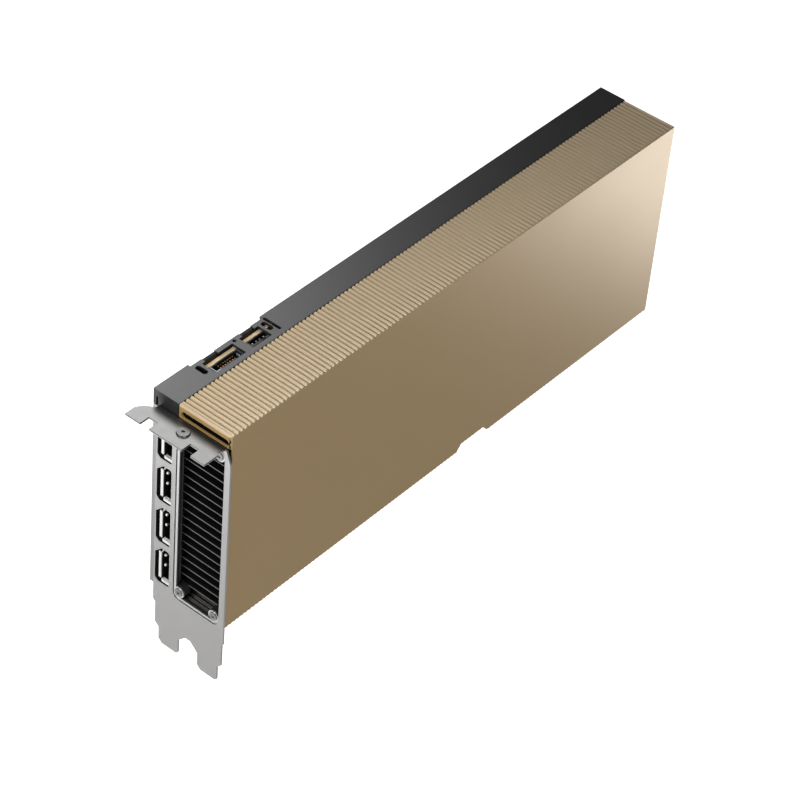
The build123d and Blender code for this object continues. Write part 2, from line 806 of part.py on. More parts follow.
with BuildPart() as vapour_chamber:
    block(chamber_mid_x - chamber_length / 2, chamber_mid_x + chamber_length / 2,
          base_y, chamber_face_y, chamber_z - chamber_height / 2, chamber_z + chamber_height / 2)
    chamfer(vapour_chamber.edges().filter_by(Axis.Y), chamber_corner)
    with BuildSketch(Plane.XZ.offset(-chamber_face_y)):
        with Locations(cooler_places):
            Circle(screw_r + thread_gap)
    extrude(amount=screw_depth / 2, mode=Mode.SUBTRACT)
vapour_chamber.part.label = "vapour_chamber"
export_step(vapour_chamber.part, "parts/vapour_chamber.step")

# Processor package, its die and its stiffener
package_top_y = board_face_y - package_t
with BuildPart() as chip_package:
    block(chamber_mid_x - package_size / 2, chamber_mid_x + package_size / 2,
          package_top_y, board_face_y,
          chamber_z - package_size / 2, chamber_z + package_size / 2)
chip_package.part.label = "chip_package"
export_step(chip_package.part, "parts/chip_package.step")

with BuildPart() as chip_die:
    block(chamber_mid_x - die_length / 2, chamber_mid_x + die_length / 2,
          chamber_face_y, package_top_y, chamber_z - die_height / 2, chamber_z + die_height / 2)
chip_die.part.label = "chip_die"
export_step(chip_die.part, "parts/chip_die.step")

with BuildPart() as chip_stiffener:
    with BuildSketch(Plane.XZ.offset(-package_top_y)):
        with Locations((chamber_mid_x, chamber_z)):
            Rectangle(package_size, package_size)
            Rectangle(package_size - 2 * stiffener_wall, package_size - 2 * stiffener_wall,
                      mode=Mode.SUBTRACT)
    extrude(amount=stiffener_t)
chip_stiffener.part.label = "chip_stiffener"
export_step(chip_stiffener.part, "parts/chip_stiffener.step")

# Memory on both faces of the board, and the pads that cool it
column_grid = GridLocations(2 * chip_column_x, chip_column_pitch, 2, 4)
row_grid = GridLocations(chip_row_pitch, 2 * chip_row_z, 2, 2)
column_chips = [(chamber_mid_x + place.position.X, chamber_z + place.position.Y)
                for place in column_grid]
row_chips = [(chamber_mid_x + place.position.X, chamber_z + place.position.Y)
             for place in row_grid]


def chip_layer(start_y, thickness):
    """Add one flat solid over each memory place, growing towards -Y."""
    with BuildSketch(Plane.XZ.offset(-start_y)) as layer:
        with Locations(column_chips):
            Rectangle(chip_length, chip_height)
        with Locations(row_chips):
            Rectangle(chip_height, chip_short)
    extrude(layer.sketch, amount=thickness)


chip_top_y = board_face_y - chip_t
with BuildPart() as memory_front:
    chip_layer(board_face_y, chip_t)
memory_front.part.label = "memory_front"
export_step(memory_front.part, "parts/memory_front.step")

with BuildPart() as memory_pads:
    chip_layer(chip_top_y, chip_top_y - chamber_face_y)
memory_pads.part.label = "memory_pads"
export_step(memory_pads.part, "parts/memory_pads.step")

with BuildPart() as memory_back:
    chip_layer(board_back_y + chip_t, chip_t)
memory_back.part.label = "memory_back"
export_step(memory_back.part, "parts/memory_back.step")

with BuildPart() as back_pads:
    chip_layer(back_inner_y, back_inner_y - board_back_y - chip_t)
back_pads.part.label = "back_pads"
export_step(back_pads.part, "parts/back_pads.step")

# Power stages, coils and capacitors
with BuildPart() as power_stages:
    with BuildSketch(Plane.XZ.offset(-board_face_y)):
        with Locations(power_places(0)):
            Rectangle(stage_width, stage_height)
    extrude(amount=stage_t)
power_stages.part.label = "power_stages"
export_step(power_stages.part, "parts/power_stages.step")

with BuildPart() as power_coils:
    with BuildSketch(Plane.XZ.offset(-board_face_y)):
        with Locations(power_places(coil_offset)):
            Rectangle(coil_size, coil_size)
    extrude(amount=coil_t)
    chamfer(power_coils.faces().filter_by(Axis.Y).group_by(Axis.Y)[0].edges(), coil_edge)
power_coils.part.label = "power_coils"
export_step(power_coils.part, "parts/power_coils.step")

with BuildPart() as capacitors:
    with BuildSketch(Plane.XZ.offset(-board_face_y)):
        with Locations(power_places(capacitor_offset)):
            Rectangle(capacitor_width, capacitor_length)
    extrude(amount=capacitor_t)
capacitors.part.label = "capacitors"
export_step(capacitors.part, "parts/capacitors.step")

# Display ports: collar in the bracket, shell on the board, insulator and capped tongue
shell_x = plate_x + port_collar_depth
shell_mid_y = board_face_y - port_shell_width / 2
tongue_x = plate_x + port_tongue_set_back
tongue_mid_z = port_mid_z + port_tongue_rise
with BuildPart() as port_collars:
    extrude(port_mouths(plate_x, port_shell_wall), amount=port_collar_depth)
    extrude(port_mouths(plate_x, 0), amount=port_collar_depth, mode=Mode.SUBTRACT)
port_collars.part.label = "port_collars"
export_step(port_collars.part, "parts/port_collars.step")


def port_blocks(place_x, middle_y, middle_z, width, height, amount, mode=Mode.ADD):
    """Add or cut one rectangular length in every display port."""
    with BuildSketch(Plane.YZ.offset(place_x)) as blocks:
        with Locations((middle_y, middle_z)):
            with GridLocations(1, port_pitch, 1, port_count):
                Rectangle(width, height)
    extrude(blocks.sketch, amount=amount, mode=mode)


cavity_width = port_shell_width - 2 * port_shell_wall
cavity_height = port_shell_height - 2 * port_shell_wall
shell_length = port_shell_end - port_collar_depth
with BuildPart() as port_shells:
    extrude(port_mouths(shell_x, port_shell_wall), amount=port_shell_wall)
    port_blocks(shell_x, shell_mid_y, port_mid_z, port_shell_width, port_shell_height, shell_length)
    port_blocks(shell_x, shell_mid_y, port_mid_z, cavity_width, cavity_height, shell_length,
                mode=Mode.SUBTRACT)
port_shells.part.label = "port_shells"
export_step(port_shells.part, "parts/port_shells.step")

core_x = plate_x + port_shell_end
with BuildPart() as port_cores:
    port_blocks(core_x, shell_mid_y, port_mid_z, cavity_width, cavity_height, -port_block_length)
    port_blocks(tongue_x + port_cap_t, port_tongue_y, tongue_mid_z, port_tongue_t,
                port_tongue_height, core_x - tongue_x - port_cap_t)
port_cores.part.label = "port_cores"
export_step(port_cores.part, "parts/port_cores.step")

with BuildPart() as port_tongues:
    port_blocks(tongue_x, port_tongue_y, tongue_mid_z, port_tongue_t, port_tongue_height, port_cap_t)
port_tongues.part.label = "port_tongues"
export_step(port_tongues.part, "parts/port_tongues.step")


def header_body(start, length, width, height, wall, set_in_shell):
    """Open box that stands on the board's face, open upwards."""
    low_x = plate_x + start + set_in_shell
    high_x = plate_x + start + length - set_in_shell
    left_y = board_face_y - set_in_shell
    right_y = board_face_y - width + set_in_shell
    low_z = header_top_z - height
    high_z = header_top_z - set_in_shell
    block(low_x, high_x, right_y, left_y, low_z, high_z)
    block(low_x + wall, high_x - wall, right_y + wall, left_y - wall,
          low_z + header_floor, high_z, mode=Mode.SUBTRACT)


def header_pins(start, length, width, height, columns, rows, pitch, size, rise):
    """Square pins that stand in a header's floor."""
    floor_z = header_top_z - height + header_floor
    middle_x = plate_x + start + length / 2
    with BuildSketch(Plane.XY.offset(floor_z)) as pins:
        with Locations((middle_x, board_face_y - width / 2)):
            with GridLocations(pitch, pitch, columns, rows):
                Rectangle(size, size)
    extrude(pins.sketch, amount=rise)


with BuildPart() as sync_shell:
    block(plate_x + sync_start, plate_x + sync_start + sync_length,
          board_face_y - sync_width, board_face_y, header_top_z - sync_height, header_top_z)
    block(plate_x + sync_start + sync_wall, plate_x + sync_start + sync_length - sync_wall,
          board_face_y - sync_width + sync_wall, board_face_y - sync_wall,
          header_top_z - sync_height, header_top_z, mode=Mode.SUBTRACT)
    block(plate_x + sync_start + sync_stub, plate_x + sync_start + sync_length - sync_stub,
          board_face_y - sync_width, board_face_y - sync_width + sync_wall,
          header_top_z - sync_opening, header_top_z, mode=Mode.SUBTRACT)
sync_shell.part.label = "sync_shell"
export_step(sync_shell.part, "parts/sync_shell.step")

with BuildPart() as sync_body:
    header_body(sync_start, sync_length, sync_width, sync_height, sync_wall, sync_wall)
sync_body.part.label = "sync_body"
export_step(sync_body.part, "parts/sync_body.step")

with BuildPart() as sync_pins:
    header_pins(sync_start, sync_length, sync_width, sync_height, sync_columns, 2,
                sync_pitch, sync_pin_size, sync_pin_rise)
sync_pins.part.label = "sync_pins"
export_step(sync_pins.part, "parts/sync_pins.step")

with BuildPart() as stereo_body:
    header_body(stereo_start, stereo_length, stereo_width, stereo_height, stereo_wall, 0)
stereo_body.part.label = "stereo_body"
export_step(stereo_body.part, "parts/stereo_body.step")

with BuildPart() as stereo_pins:
    header_pins(stereo_start, stereo_length, stereo_width, stereo_height, stereo_columns, 1,
                stereo_pitch, stereo_pin_size, stereo_pin_rise)
stereo_pins.part.label = "stereo_pins"
export_step(stereo_pins.part, "parts/stereo_pins.step")

# Power inlet with twelve power cavities and four sense cavities
inlet_mid_y = board_face_y - inlet_width / 2
inlet_x = end_x - inlet_length
cavity_mid_y = inlet_mid_y + inlet_row_offset - sense_size / 2
sense_mid_y = inlet_mid_y - sense_row_offset
with BuildPart() as power_inlet:
    block(inlet_x, end_x, board_face_y - inlet_width, board_face_y,
          inlet_mid_z - inlet_height / 2, inlet_mid_z + inlet_height / 2)
    with BuildSketch(Plane.YZ.offset(end_x)):
        with Locations((cavity_mid_y, inlet_mid_z)):
            with GridLocations(inlet_cavity + inlet_row_wall, inlet_pitch, 2, inlet_columns):
                Rectangle(inlet_cavity, inlet_cavity)
        with Locations((sense_mid_y, inlet_mid_z)):
            with GridLocations(1, sense_pitch, 1, sense_columns):
                Rectangle(sense_depth, sense_size)
    extrude(amount=-inlet_cavity_depth, mode=Mode.SUBTRACT)
power_inlet.part.label = "power_inlet"
export_step(power_inlet.part, "parts/power_inlet.step")

with BuildPart() as power_pins:
    with BuildSketch(Plane.YZ.offset(end_x - inlet_cavity_depth)):
        with Locations((cavity_mid_y, inlet_mid_z)):
            with GridLocations(inlet_cavity + inlet_row_wall, inlet_pitch, 2, inlet_columns):
                Rectangle(inlet_pin_size, inlet_pin_size)
    extrude(amount=inlet_pin_length)
power_pins.part.label = "power_pins"
export_step(power_pins.part, "parts/power_pins.step")

# End frame at the far end, with the air inlet and four tapped holes
frame_x = end_x - end_frame_t
frame_right_y = shroud_inner_y
frame_low_z = shroud_floor_z + seat_gap
frame_high_z = cover_skirt_z - seat_gap
extender_mid_z = (frame_low_z + frame_high_z) / 2
extender_span_z = frame_high_z - frame_low_z - end_frame_bar
with BuildPart() as end_frame:
    block(frame_x, end_x, frame_right_y, end_frame_left_y, frame_low_z, frame_high_z)
    block(frame_x, end_x, frame_right_y + end_frame_side, air_inlet_left_y,
          frame_low_z + end_frame_bar, frame_high_z - end_frame_bar, mode=Mode.SUBTRACT)
    block(frame_x, end_x, board_face_y - inlet_width - seat_gap, end_frame_left_y,
          inlet_mid_z - inlet_height / 2 - seat_gap, inlet_mid_z + inlet_height / 2 + seat_gap,
          mode=Mode.SUBTRACT)
    with BuildSketch(Plane.YZ.offset(end_x)):
        with Locations((extender_mid_y, extender_mid_z)):
            with GridLocations(extender_span_y, extender_span_z, 2, 2):
                Circle(extender_r)
    extrude(amount=-end_frame_t, mode=Mode.SUBTRACT)
end_frame.part.label = "end_frame"
export_step(end_frame.part, "parts/end_frame.step")

# Bottom rail between the board and the shroud
rail_x = band_rear_x + seat_gap
rib_rail_x = vent_frame_end_x + seat_gap
with BuildPart() as bottom_rail:
    block(rail_x, end_x, cover_joint_y + plate_shell_t, board_face_y,
          body_bottom_z, body_bottom_z + plate_shell_t)
    block(rib_rail_x, frame_x - seat_gap, cover_joint_y, cover_joint_y + plate_shell_t,
          body_bottom_z, base_bottom_z - fit_gap)
bottom_rail.part.label = "bottom_rail"
export_step(bottom_rail.part, "parts/bottom_rail.step")
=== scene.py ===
"""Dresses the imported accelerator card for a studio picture."""
from __future__ import annotations

import json
import logging
import math
from dataclasses import dataclass
from enum import Enum
from typing import Callable, Iterable

import bmesh
import bpy
from mathutils import Matrix, Vector

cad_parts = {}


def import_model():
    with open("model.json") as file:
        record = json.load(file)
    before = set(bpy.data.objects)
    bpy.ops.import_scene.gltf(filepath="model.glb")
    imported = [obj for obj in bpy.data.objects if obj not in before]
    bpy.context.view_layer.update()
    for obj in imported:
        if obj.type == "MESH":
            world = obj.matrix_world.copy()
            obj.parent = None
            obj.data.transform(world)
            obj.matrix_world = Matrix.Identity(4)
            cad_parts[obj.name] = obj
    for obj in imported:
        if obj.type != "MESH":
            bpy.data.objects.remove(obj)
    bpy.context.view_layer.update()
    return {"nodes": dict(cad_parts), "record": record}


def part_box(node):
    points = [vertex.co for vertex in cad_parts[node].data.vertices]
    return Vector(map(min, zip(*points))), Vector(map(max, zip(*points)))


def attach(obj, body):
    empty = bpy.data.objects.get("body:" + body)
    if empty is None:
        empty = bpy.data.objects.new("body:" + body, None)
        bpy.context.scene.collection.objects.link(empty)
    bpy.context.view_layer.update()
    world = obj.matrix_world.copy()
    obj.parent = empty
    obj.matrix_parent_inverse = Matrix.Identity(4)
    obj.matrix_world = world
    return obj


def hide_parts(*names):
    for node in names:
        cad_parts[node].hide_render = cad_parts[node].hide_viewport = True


LOG = logging.getLogger("card")
MM = 0.001
BODY = "root"
# Slack in millimetres when points are picked by their place
TINY = 0.01
# Least share of a normal along an axis, for a face that looks straight or mostly that way
STRAIGHT = 0.99
MOSTLY = 0.9

Colour = tuple[float, float, float]
Point = tuple[float, float, float]


class Facing(Enum):
    """The side of the card that a face looks to."""

    BRACKET = (-1.0, 0.0, 0.0)
    FAR_END = (1.0, 0.0, 0.0)
    SHROUD = (0.0, -1.0, 0.0)
    UP = (0.0, 0.0, 1.0)


# Shader groups

GRAIN_DETAIL = 3.0
BROAD_SCALE = 28.0
LINE_DETAIL = 4.0
LINE_STRETCH: Point = (1.0, 1.0, 0.04)
DUST_DETAIL = 5.0
DUST_START = 0.45


def new_group(
    name: str, inputs: Iterable[tuple[str, float]], outputs: Iterable[str]
) -> bpy.types.ShaderNodeTree:
    """Makes an empty shader group.

    Args:
        name: The group's name.
        inputs: Name and default of each number input; Vector is added first.
        outputs: Names of the number outputs.

    Returns:
        The node tree with its input and output nodes.
    """
    tree = bpy.data.node_groups.new(name, "ShaderNodeTree")
    tree.interface.new_socket("Vector", in_out="INPUT", socket_type="NodeSocketVector")
    for label, value in inputs:
        socket = tree.interface.new_socket(label, in_out="INPUT", socket_type="NodeSocketFloat")
        socket.default_value = value
    for label in outputs:
        tree.interface.new_socket(label, in_out="OUTPUT", socket_type="NodeSocketFloat")
    tree.nodes.new("NodeGroupInput")
    tree.nodes.new("NodeGroupOutput")
    return tree


def ends(tree: bpy.types.ShaderNodeTree) -> tuple[bpy.types.Node, bpy.types.Node]:
    """Returns the input and the output node of a group."""
    by_type = {node.bl_idname: node for node in tree.nodes}
    return by_type["NodeGroupInput"], by_type["NodeGroupOutput"]


def math_node(
    tree: bpy.types.ShaderNodeTree, operation: str, first: object, second: object
) -> bpy.types.NodeSocket:
    """Adds a Math node.

    Args:
        tree: The tree that gets the node.
        operation: The node's operation.
        first: A socket or a number.
        second: A socket or a number.

    Returns:
        The node's output socket.
    """
    node = tree.nodes.new("ShaderNodeMath")
    node.operation = operation
    for index, value in enumerate((first, second)):
        if isinstance(value, (int, float)):
            node.inputs[index].default_value = value
        else:
            tree.links.new(value, node.inputs[index])
    return node.outputs[0]


def grain_group() -> bpy.types.ShaderNodeTree:
    """Builds the fine grain of a coated or moulded surface.

    Returns:
        A group with the outputs Value, for roughness, and Height, for a bump.
    """
    tree = new_group("Grain", (("Scale", 900.0), ("Amount", 0.1), ("Base", 0.4)),
                     ("Value", "Height"))
    start, end = ends(tree)
    fine = tree.nodes.new("ShaderNodeTexNoise")
    fine.inputs["Detail"].default_value = GRAIN_DETAIL
    broad = tree.nodes.new("ShaderNodeTexNoise")
    broad.inputs["Scale"].default_value = BROAD_SCALE
    tree.links.new(start.outputs["Vector"], fine.inputs["Vector"])
    tree.links.new(start.outputs["Vector"], broad.inputs["Vector"])
    tree.links.new(start.outputs["Scale"], fine.inputs["Scale"])
    mixed = math_node(tree, "ADD", fine.outputs["Fac"], broad.outputs["Fac"])
    centred = math_node(tree, "SUBTRACT", mixed, 1.0)
    scaled = math_node(tree, "MULTIPLY", centred, start.outputs["Amount"])
    value = math_node(tree, "ADD", scaled, start.outputs["Base"])
    tree.links.new(value, end.inputs["Value"])
    tree.links.new(fine.outputs["Fac"], end.inputs["Height"])
    return tree


def brush_group() -> bpy.types.ShaderNodeTree:
    """Builds long brush lines along the stretched axis of the given vector.

    Returns:
        A group with the outputs Value, for roughness, and Height, for a bump.
    """
    tree = new_group("Brush", (("Scale", 500.0), ("Amount", 0.15), ("Base", 0.3)),
                     ("Value", "Height"))
    start, end = ends(tree)
    stretch = tree.nodes.new("ShaderNodeVectorMath")
    stretch.operation = "MULTIPLY"
    stretch.inputs[1].default_value = LINE_STRETCH
    lines = tree.nodes.new("ShaderNodeTexNoise")
    lines.inputs["Detail"].default_value = LINE_DETAIL
    tree.links.new(start.outputs["Vector"], stretch.inputs[0])
    tree.links.new(stretch.outputs["Vector"], lines.inputs["Vector"])
    tree.links.new(start.outputs["Scale"], lines.inputs["Scale"])
    centred = math_node(tree, "SUBTRACT", lines.outputs["Fac"], 0.5)
    scaled = math_node(tree, "MULTIPLY", centred, start.outputs["Amount"])
    value = math_node(tree, "ADD", scaled, start.outputs["Base"])
    tree.links.new(value, end.inputs["Value"])
    tree.links.new(lines.outputs["Fac"], end.inputs["Height"])
    return tree


def dust_group() -> bpy.types.ShaderNodeTree:
    """Builds a faint broad mask of handling marks and dust.

    Returns:
        A group with the output Mask.
    """
    tree = new_group("Dust", (("Scale", 45.0), ("Amount", 0.3)), ("Mask",))
    start, end = ends(tree)
    noise = tree.nodes.new("ShaderNodeTexNoise")
    noise.inputs["Detail"].default_value = DUST_DETAIL
    tree.links.new(start.outputs["Vector"], noise.inputs["Vector"])
    tree.links.new(start.outputs["Scale"], noise.inputs["Scale"])
    lifted = math_node(tree, "SUBTRACT", noise.outputs["Fac"], DUST_START)
    sharp = math_node(tree, "MULTIPLY", lifted, start.outputs["Amount"])
    mask = math_node(tree, "MAXIMUM", sharp, 0.0)
    tree.links.new(mask, end.inputs["Mask"])
    return tree


def band_group() -> bpy.types.ShaderNodeTree:
    """Builds a mask of the slab between two levels along one direction of the object.

    Returns:
        A group with the output Mask, 1 inside the slab. Its levels are in metres.
    """
    inputs = [(f"Along {axis}", 0.0) for axis in "XYZ"]
    tree = new_group("Band", (*inputs, ("Low", 0.0), ("High", 1.0)), ("Mask",))
    start, end = ends(tree)
    split = tree.nodes.new("ShaderNodeSeparateXYZ")
    tree.links.new(start.outputs["Vector"], split.inputs["Vector"])
    total: object = 0.0
    for axis in "XYZ":
        part = math_node(tree, "MULTIPLY", split.outputs[axis], start.outputs[f"Along {axis}"])
        total = math_node(tree, "ADD", part, total)
    above = math_node(tree, "GREATER_THAN", total, start.outputs["Low"])
    below = math_node(tree, "LESS_THAN", total, start.outputs["High"])
    tree.links.new(math_node(tree, "MULTIPLY", above, below), end.inputs["Mask"])
    return tree


@dataclass(frozen=True)
class Effects:
    """The shader groups that the finishes share."""

    grain: bpy.types.ShaderNodeTree
    brush: bpy.types.ShaderNodeTree
    dust: bpy.types.ShaderNodeTree
    band: bpy.types.ShaderNodeTree

    @classmethod
    def build(cls) -> "Effects":
        """Makes each group once."""
        return cls(grain_group(), brush_group(), dust_group(), band_group())


@dataclass(frozen=True)
class Slab:
    """A slab of the object, between two levels in millimetres, that has another colour."""

    along: Point
    low: float
    high: float
    colour: Colour
    metallic: float = 0.0


class Texture(Enum):
    """Which shader group gives a finish its fine structure."""

    GRAIN = "grain"
    BRUSH = "brush"


@dataclass(frozen=True)
class Finish:
    """One finish: the values of its shader and of its shared groups."""

    name: str
    colour: Colour
    second: Colour
    metallic: float
    roughness: float
    texture: Texture = Texture.GRAIN
    scale: float = 900.0
    amount: float = 0.1
    bump: float = 0.05
    bump_depth: float = 0.00003
    dust: float = 0.3
    specular: float = 0.5
    ior: float = 1.5
    coat: float = 0.0
    coat_roughness: float = 0.2
    slab: Slab | None = None

    def _slab(self, tree: bpy.types.ShaderNodeTree, effects: Effects, place: bpy.types.NodeSocket,
              colour: bpy.types.NodeSocket, shader: bpy.types.Node) -> bpy.types.NodeSocket:
        """Mixes the slab's colour and metallic share over the finish.

        Args:
            tree: The material's tree.
            effects: The shared shader groups.
            place: The object coordinates.
            colour: The colour so far.
            shader: The surface shader.

        Returns:
            The mixed colour.
        """
        band = tree.nodes.new("ShaderNodeGroup")
        band.node_tree = effects.band
        for axis, weight in zip("XYZ", self.slab.along):
            band.inputs[f"Along {axis}"].default_value = weight
        band.inputs["Low"].default_value = self.slab.low * MM
        band.inputs["High"].default_value = self.slab.high * MM
        tree.links.new(place, band.inputs["Vector"])
        mix = tree.nodes.new("ShaderNodeMix")
        mix.data_type = "RGBA"
        tree.links.new(band.outputs["Mask"], mix.inputs["Factor"])
        tree.links.new(colour, mix.inputs["A"])
        mix.inputs["B"].default_value = (*self.slab.colour, 1.0)
        if self.slab.metallic != self.metallic:
            change = math_node(tree, "MULTIPLY", band.outputs["Mask"],
                               self.slab.metallic - self.metallic)
            tree.links.new(math_node(tree, "ADD", change, self.metallic),
                           shader.inputs["Metallic"])
        return mix.outputs["Result"]

    def build(self, effects: Effects) -> bpy.types.Material:
        """Builds the material.

        Args:
            effects: The shared shader groups.

        Returns:
            The finished material.
        """
        material = bpy.data.materials.new(self.name)
        material.use_nodes = True
        tree = material.node_tree
        shader = tree.nodes["Principled BSDF"]
        place = tree.nodes.new("ShaderNodeTexCoord").outputs["Object"]
        fine = tree.nodes.new("ShaderNodeGroup")
        fine.node_tree = getattr(effects, self.texture.value)
        fine.inputs["Scale"].default_value = self.scale
        fine.inputs["Amount"].default_value = self.amount
        fine.inputs["Base"].default_value = self.roughness
        tree.links.new(place, fine.inputs["Vector"])
        tree.links.new(fine.outputs["Value"], shader.inputs["Roughness"])
        dust = tree.nodes.new("ShaderNodeGroup")
        dust.node_tree = effects.dust
        dust.inputs["Amount"].default_value = self.dust
        tree.links.new(place, dust.inputs["Vector"])
        mix = tree.nodes.new("ShaderNodeMix")
        mix.data_type = "RGBA"
        mix.inputs["A"].default_value = (*self.colour, 1.0)
        mix.inputs["B"].default_value = (*self.second, 1.0)
        tree.links.new(dust.outputs["Mask"], mix.inputs["Factor"])
        shader.inputs["Metallic"].default_value = self.metallic
        colour = mix.outputs["Result"]
        if self.slab:
            colour = self._slab(tree, effects, place, colour, shader)
        tree.links.new(colour, shader.inputs["Base Color"])
        bump = tree.nodes.new("ShaderNodeBump")
        bump.inputs["Strength"].default_value = self.bump
        bump.inputs["Distance"].default_value = self.bump_depth
        tree.links.new(fine.outputs["Height"], bump.inputs["Height"])
        tree.links.new(bump.outputs["Normal"], shader.inputs["Normal"])
        shader.inputs["Specular IOR Level"].default_value = self.specular
        shader.inputs["IOR"].default_value = self.ior
        shader.inputs["Coat Weight"].default_value = self.coat
        shader.inputs["Coat Roughness"].default_value = self.coat_roughness
        return material


# Finishes, by name; a slab's levels are in millimetres

ACROSS_X: Point = (1.0, 0.0, 0.0)
ACROSS_Y: Point = (0.0, 1.0, 0.0)
ACROSS_Z: Point = (0.0, 0.0, 1.0)
BARE: Colour = (0.55, 0.55, 0.55)

FINISHES: dict[str, Finish] = {
    finish.name: finish
    for finish in (
        # gold_shell's slab is a painted highlight: the top of the shroud above 110.45 mm, its rib
        # crests, gets a paler, less saturated gold than the sheet's own
        Finish("gold_shell", (0.3, 0.192, 0.064), (0.32, 0.21, 0.08), 0.25, 0.39,
               scale=1400, amount=0.05, specular=0.75, ior=1.7,
               slab=Slab(ACROSS_Z, 110.45, 112.0, (0.33, 0.245, 0.135), 0.25)),
        Finish("gold_inside", (0.018, 0.014, 0.01), (0.03, 0.024, 0.017), 0.0, 0.35, scale=1400),
        # grey_shell's slab is painted shade: a black band on the cover's edge by the ribs, from
        # -9.6 to -8.8 mm across, for the dark edge seen through the rib valleys
        Finish("grey_shell", (0.01, 0.0101, 0.0108), (0.019, 0.019, 0.02), 0.0, 0.32,
               scale=1400, amount=0.05, specular=0.54,
               slab=Slab(ACROSS_Y, -9.6, -8.8, (0.0, 0.0, 0.0))),
        Finish("back_shell", (0.02, 0.02, 0.022), (0.04, 0.04, 0.042), 0.0, 0.42, scale=1300),
        # bracket_steel's slab is a painted dark reflection: the tab at the top of the bracket,
        # above 104.6 mm, is much darker than the plate so that it mirrors little of the top lamp
        Finish("bracket_steel", (0.44, 0.435, 0.43), (0.4, 0.39, 0.38), 1.0, 0.33,
               Texture.BRUSH, 420, 0.08,
               slab=Slab(ACROSS_Z, 104.6, 120.0, (0.15, 0.15, 0.148), 1.0)),
        Finish("tab_screw_steel", (0.1, 0.1, 0.1), (0.09, 0.09, 0.09), 1.0, 0.3, scale=600),
        Finish("angle_steel", (0.3, 0.29, 0.29), (0.26, 0.25, 0.25), 1.0, 0.4,
               Texture.BRUSH, 420, 0.08),
        Finish("screw_steel", (0.3, 0.3, 0.3), (0.25, 0.24, 0.23), 1.0, 0.28, scale=600),
        # frame_metal is the vent frame's bare metal at its front rim; its slab, from -56.2 mm
        # back, is near-black painted shade deep in the vent
        Finish("frame_metal", (0.55, 0.55, 0.55), (0.5, 0.5, 0.5), 1.0, 0.36, scale=700,
               slab=Slab(ACROSS_X, -56.2, 0.0, (0.012, 0.011, 0.01))),
        # fin_metal's near-black colour is painted shade deep in the vent, where the lamps would
        # light the fins; its slab gives the fins' front edges, up to -52.8 mm, a lighter metal
        Finish("fin_metal", (0.004, 0.004, 0.004), (0.008, 0.008, 0.008), 0.0, 0.5,
               Texture.BRUSH, 300, 0.1, specular=0.15,
               slab=Slab(ACROSS_X, -60.0, -52.8, (0.14, 0.14, 0.14), 0.5)),
        Finish("chamber_metal", (0.7, 0.7, 0.71), (0.6, 0.6, 0.6), 1.0, 0.3,
               Texture.BRUSH, 300, 0.1),
        Finish("board", (0.012, 0.02, 0.017), (0.02, 0.03, 0.026), 0.0, 0.35, scale=500, coat=0.3,
               slab=Slab(ACROSS_Y, -0.76, 0.76, (0.9, 0.68, 0.4))),
        Finish("contact_gold", (0.85, 0.6, 0.22), (0.7, 0.48, 0.18), 1.0, 0.25,
               Texture.BRUSH, 700, 0.1),
        Finish("package", (0.02, 0.12, 0.05), (0.03, 0.15, 0.07), 0.0, 0.4),
        Finish("die", (0.35, 0.36, 0.4), (0.3, 0.3, 0.34), 0.8, 0.08, amount=0.02),
        Finish("stiffener", (0.6, 0.6, 0.6), (0.5, 0.5, 0.5), 1.0, 0.35, Texture.BRUSH),
        Finish("chip_black", (0.015, 0.015, 0.016), (0.03, 0.03, 0.03), 0.0, 0.5),
        Finish("pad", (0.45, 0.47, 0.5), (0.38, 0.4, 0.43), 0.0, 0.75, amount=0.05, bump=0.2),
        Finish("coil", (0.07, 0.07, 0.075), (0.12, 0.12, 0.12), 0.2, 0.6, bump=0.2),
        Finish("capacitor", (0.05, 0.05, 0.055), (0.1, 0.1, 0.1), 0.0, 0.45),
        # port_metal's near-black colour is painted shade inside the display ports; its slab gives
        # the front 3 mm of the collars their bare metal
        Finish("port_metal", (0.015, 0.014, 0.013), (0.03, 0.03, 0.03), 0.6, 0.35,
               Texture.BRUSH,
               slab=Slab(ACROSS_X, -60.0, -57.0, BARE, 1.0)),
        Finish("port_bar", (0.7, 0.7, 0.68), (0.6, 0.6, 0.6), 0.3, 0.4, Texture.BRUSH),
        Finish("port_contact", (0.66, 0.66, 0.64), (0.6, 0.6, 0.58), 0.5, 0.35, Texture.BRUSH),
        Finish("port_plastic", (0.006, 0.006, 0.006), (0.01, 0.01, 0.01), 0.0, 0.5,
               specular=0.25),
        Finish("header_metal", (0.26, 0.29, 0.33), (0.22, 0.24, 0.27), 0.8, 0.4,
               Texture.BRUSH),
        # deep_black is a black without gloss that stands for shade: on the block behind the
        # shroud's slot, on the header floors and on the lens under the cover's slot
        Finish("deep_black", (0.0006, 0.0006, 0.0006), (0.001, 0.001, 0.001), 0.0, 0.8,
               specular=0.04),
        Finish("header_plastic", (0.008, 0.008, 0.009), (0.015, 0.015, 0.015), 0.0, 0.4),
        Finish("stereo_grey", (0.1, 0.1, 0.105), (0.15, 0.15, 0.15), 0.0, 0.4),
        Finish("pin_copper", (0.42, 0.23, 0.1), (0.34, 0.18, 0.08), 0.6, 0.4),
        Finish("pin_silver", (0.42, 0.41, 0.4), (0.36, 0.36, 0.35), 0.6, 0.4),
        Finish("inlet_plastic", (0.015, 0.015, 0.016), (0.03, 0.03, 0.03), 0.0, 0.42),
        Finish("standoff", (0.75, 0.6, 0.3), (0.6, 0.48, 0.24), 1.0, 0.3),
    )
}

# CAD nodes whose finish isn't that of their slot
NODE_FINISHES = {"side_angle": "angle_steel", "tab_screw": "tab_screw_steel"}


# Mesh work


